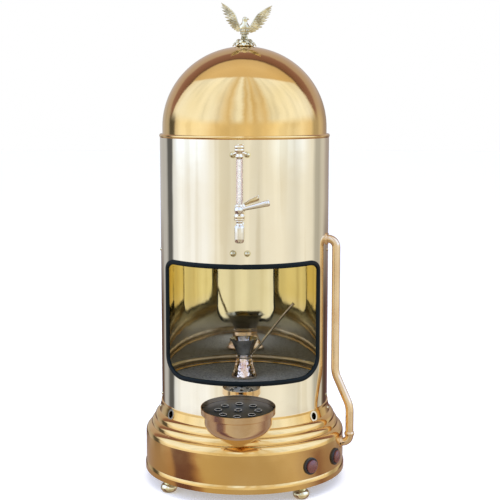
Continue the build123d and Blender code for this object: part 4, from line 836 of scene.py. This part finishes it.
def make_pan_rim(materials):
    """The hearth pan's lining band and the bead that holds the plate down."""
    bead = [(145.7 + a, 179.2 + b) for a, b in round_section(1.2, 10)]
    band = [(146.0, 182.6), (147.1, 182.2), (147.1, 191.8), (146.6, 192.4), (146.0, 191.9), (145.8, 187.2)]
    turns = [2 * math.pi * k / 160 for k in range(161)]
    for name, section, slot in (("pan_bead", bead, "spun_brass"), ("pan_rim", band, "polished_brass")):
        bm = bmesh.new()
        add_rings(bm, [[Vector((r * math.cos(t), r * math.sin(t), z)) for r, z in section] for t in turns])
        bmesh.ops.remove_doubles(bm, verts=bm.verts, dist=0.0001)
        keep_piece(name, bm, "machine", materials[slot if name == "pan_bead" else "dull_brass"])


# ---------------------------------------------------------------- small fittings
GAUGE_Y = -177
LEVER_Y = -195.5
TAP_Z = 506
LEVER_RISE = 14


def front_place(x, z, y):
    """Local Z towards the front, local Y up, at a place on the front of the body."""
    return Matrix.Translation((x, y, z)) @ Matrix.Rotation(math.radians(90), 4, "X")


def make_gauge(materials):
    axis = Matrix.Translation((0, GAUGE_Y, 0))
    bm = bmesh.new()
    head = [(4.4, 588), (4.6, 590), (6.4, 590.6), (6.6, 593), (5.0, 594), (5.0, 599), (7.6, 600),
            (8.5, 601.4), (8.5, 604), (7.9, 604.6), (8.5, 605.2), (8.5, 609.4), (7.6, 610.8), (3.0, 611)]
    lathe(bm, head, 40, axis)
    stem = front_place(0, 597.5, -144.6)
    lathe(bm, [(4.2, 0), (4.2, 9), (6.0, 9.6), (6.0, 12), (4.4, 12.6), (4.4, 30)], 28, stem)
    keep_piece("gauge_head", bm, "machine", materials["pale_brass"], ["gauge_top"])

    bm = bmesh.new()
    column = [(4.0, 488), (9.0, 488.2), (9.3, 489.4), (8.6, 490.4), (9.3, 491.4), (9.3, 495.4), (8.6, 497),
              (7.4, 497.8), (7.9, 499), (7.9, 509.6), (7.2, 511), (6.2, 511.6), (6.2, 513.4), (5.6, 514)]
    lathe(bm, column, 40, axis)
    stem = front_place(0, TAP_Z, -127)
    barrel = [(6, 0), (6, 28), (9.4, 28.2), (9.4, 31), (6.3, 32), (6, 50), (5.0, 51), (5.0, 58), (6.0, 59),
              (6.0, 60.8)]
    lathe(bm, barrel, 32, stem)
    keep_piece("tap_column", bm, "machine", materials["pale_brass"], ["tap_body"])

    bm = bmesh.new()
    spout = [(4.0, 462), (4.1, 450.2), (5.2, 450), (7.2, 451.4), (8.3, 454.6), (8.5, 458), (8.5, 474.6),
             (8.1, 477.4), (6.6, 479.4), (5.2, 480.4), (5.2, 484), (5.8, 485), (5.8, 487), (5.2, 488),
             (3, 488)]
    lathe(bm, spout, 40, axis)
    keep_piece("tap_spout", bm, "machine", materials["nickel"], ["tap_nozzle"])

    bm = bmesh.new()
    hub = front_place(0, TAP_Z, LEVER_Y)
    boss = [(3.5, -17.4), (3.5, -7.2), (5.6, -6.2), (7.2, -3.4), (7.4, 0), (7.0, 3.0), (5.0, 5.6),
            (3.2, 6.2), (2.6, 7.0), (0.4, 7.3)]
    lathe(bm, boss, 32, hub)
    arm = Matrix.Translation((0, LEVER_Y, TAP_Z)) @ Matrix.Rotation(math.radians(90 - LEVER_RISE), 4, "Y")
    grip = [(2.9, 2), (2.8, 8), (3.1, 11), (5.3, 45), (5.6, 48), (5.2, 50.6), (3.4, 51.8), (0.4, 52)]
    lathe(bm, grip, 28, arm)
    keep_piece("lever", bm, "lever", materials["nickel"], ["tap_lever"])

    bm = bmesh.new()
    for side in (-1, 1):
        yoke = ((11.5, -155.2, 594.2), (7, -158, 596.4), (3, -162, 597.4))
        path = [Vector((side * x, y, z)) for x, y, z in yoke]
        sweep(bm, smooth_path(path, 4), lambda k: round_section(2.3, 10), up=lambda k, p: Vector((0, 0, 1)))
    keep_piece("gauge_yoke", bm, "machine", materials["pale_brass"])


SEAM_LOW = 147
SEAM_HIGH = 617


def make_seam(material):
    """The body's lap seam, down the middle of the back."""
    bm = bmesh.new()
    rings = []
    for k in range(49):
        z = SEAM_LOW + (SEAM_HIGH - SEAM_LOW) * k / 48
        ring = []
        for j in range(9):
            turn = math.radians(180 + (j - 4) * 0.62)
            radius = SHELL_R + 0.05 + 0.5 * min(1.0, min(j, 8 - j) / 1.2)
            ring.append(Vector((radius * math.sin(turn), -radius * math.cos(turn), z)))
        rings.append(ring)
    add_rings(bm, rings, closed=False)
    keep_piece("lap_seam", bm, "machine", material)


def soften_edges():
    """Small rounded edges on machined CAD nodes, so they catch the light."""
    for name in ("bowl_bracket", "cord_gland", "base_plate", "terminal_block"):
        modifier = NODES[name].modifiers.new("edge", "BEVEL")
        modifier.width = 0.0005
        modifier.segments = 2
        modifier.limit_method = "ANGLE"
        modifier.angle_limit = math.radians(40)


make_camera()
make_world()
make_floor()
make_lights()
MATERIALS = make_materials()
dress_nodes(MATERIALS)
soften_edges()
make_window_trim(MATERIALS["black_rubber"])
make_finial(MATERIALS["cast_brass"])
make_pot(MATERIALS)
make_hearth(MATERIALS["hearth_grit"])
make_strainer_rims(MATERIALS["worn_rims"])
make_pan_rim(MATERIALS)
make_gauge(MATERIALS)
make_seam(MATERIALS["polished_brass"])

bpy.context.scene.view_settings.view_transform = "Standard"
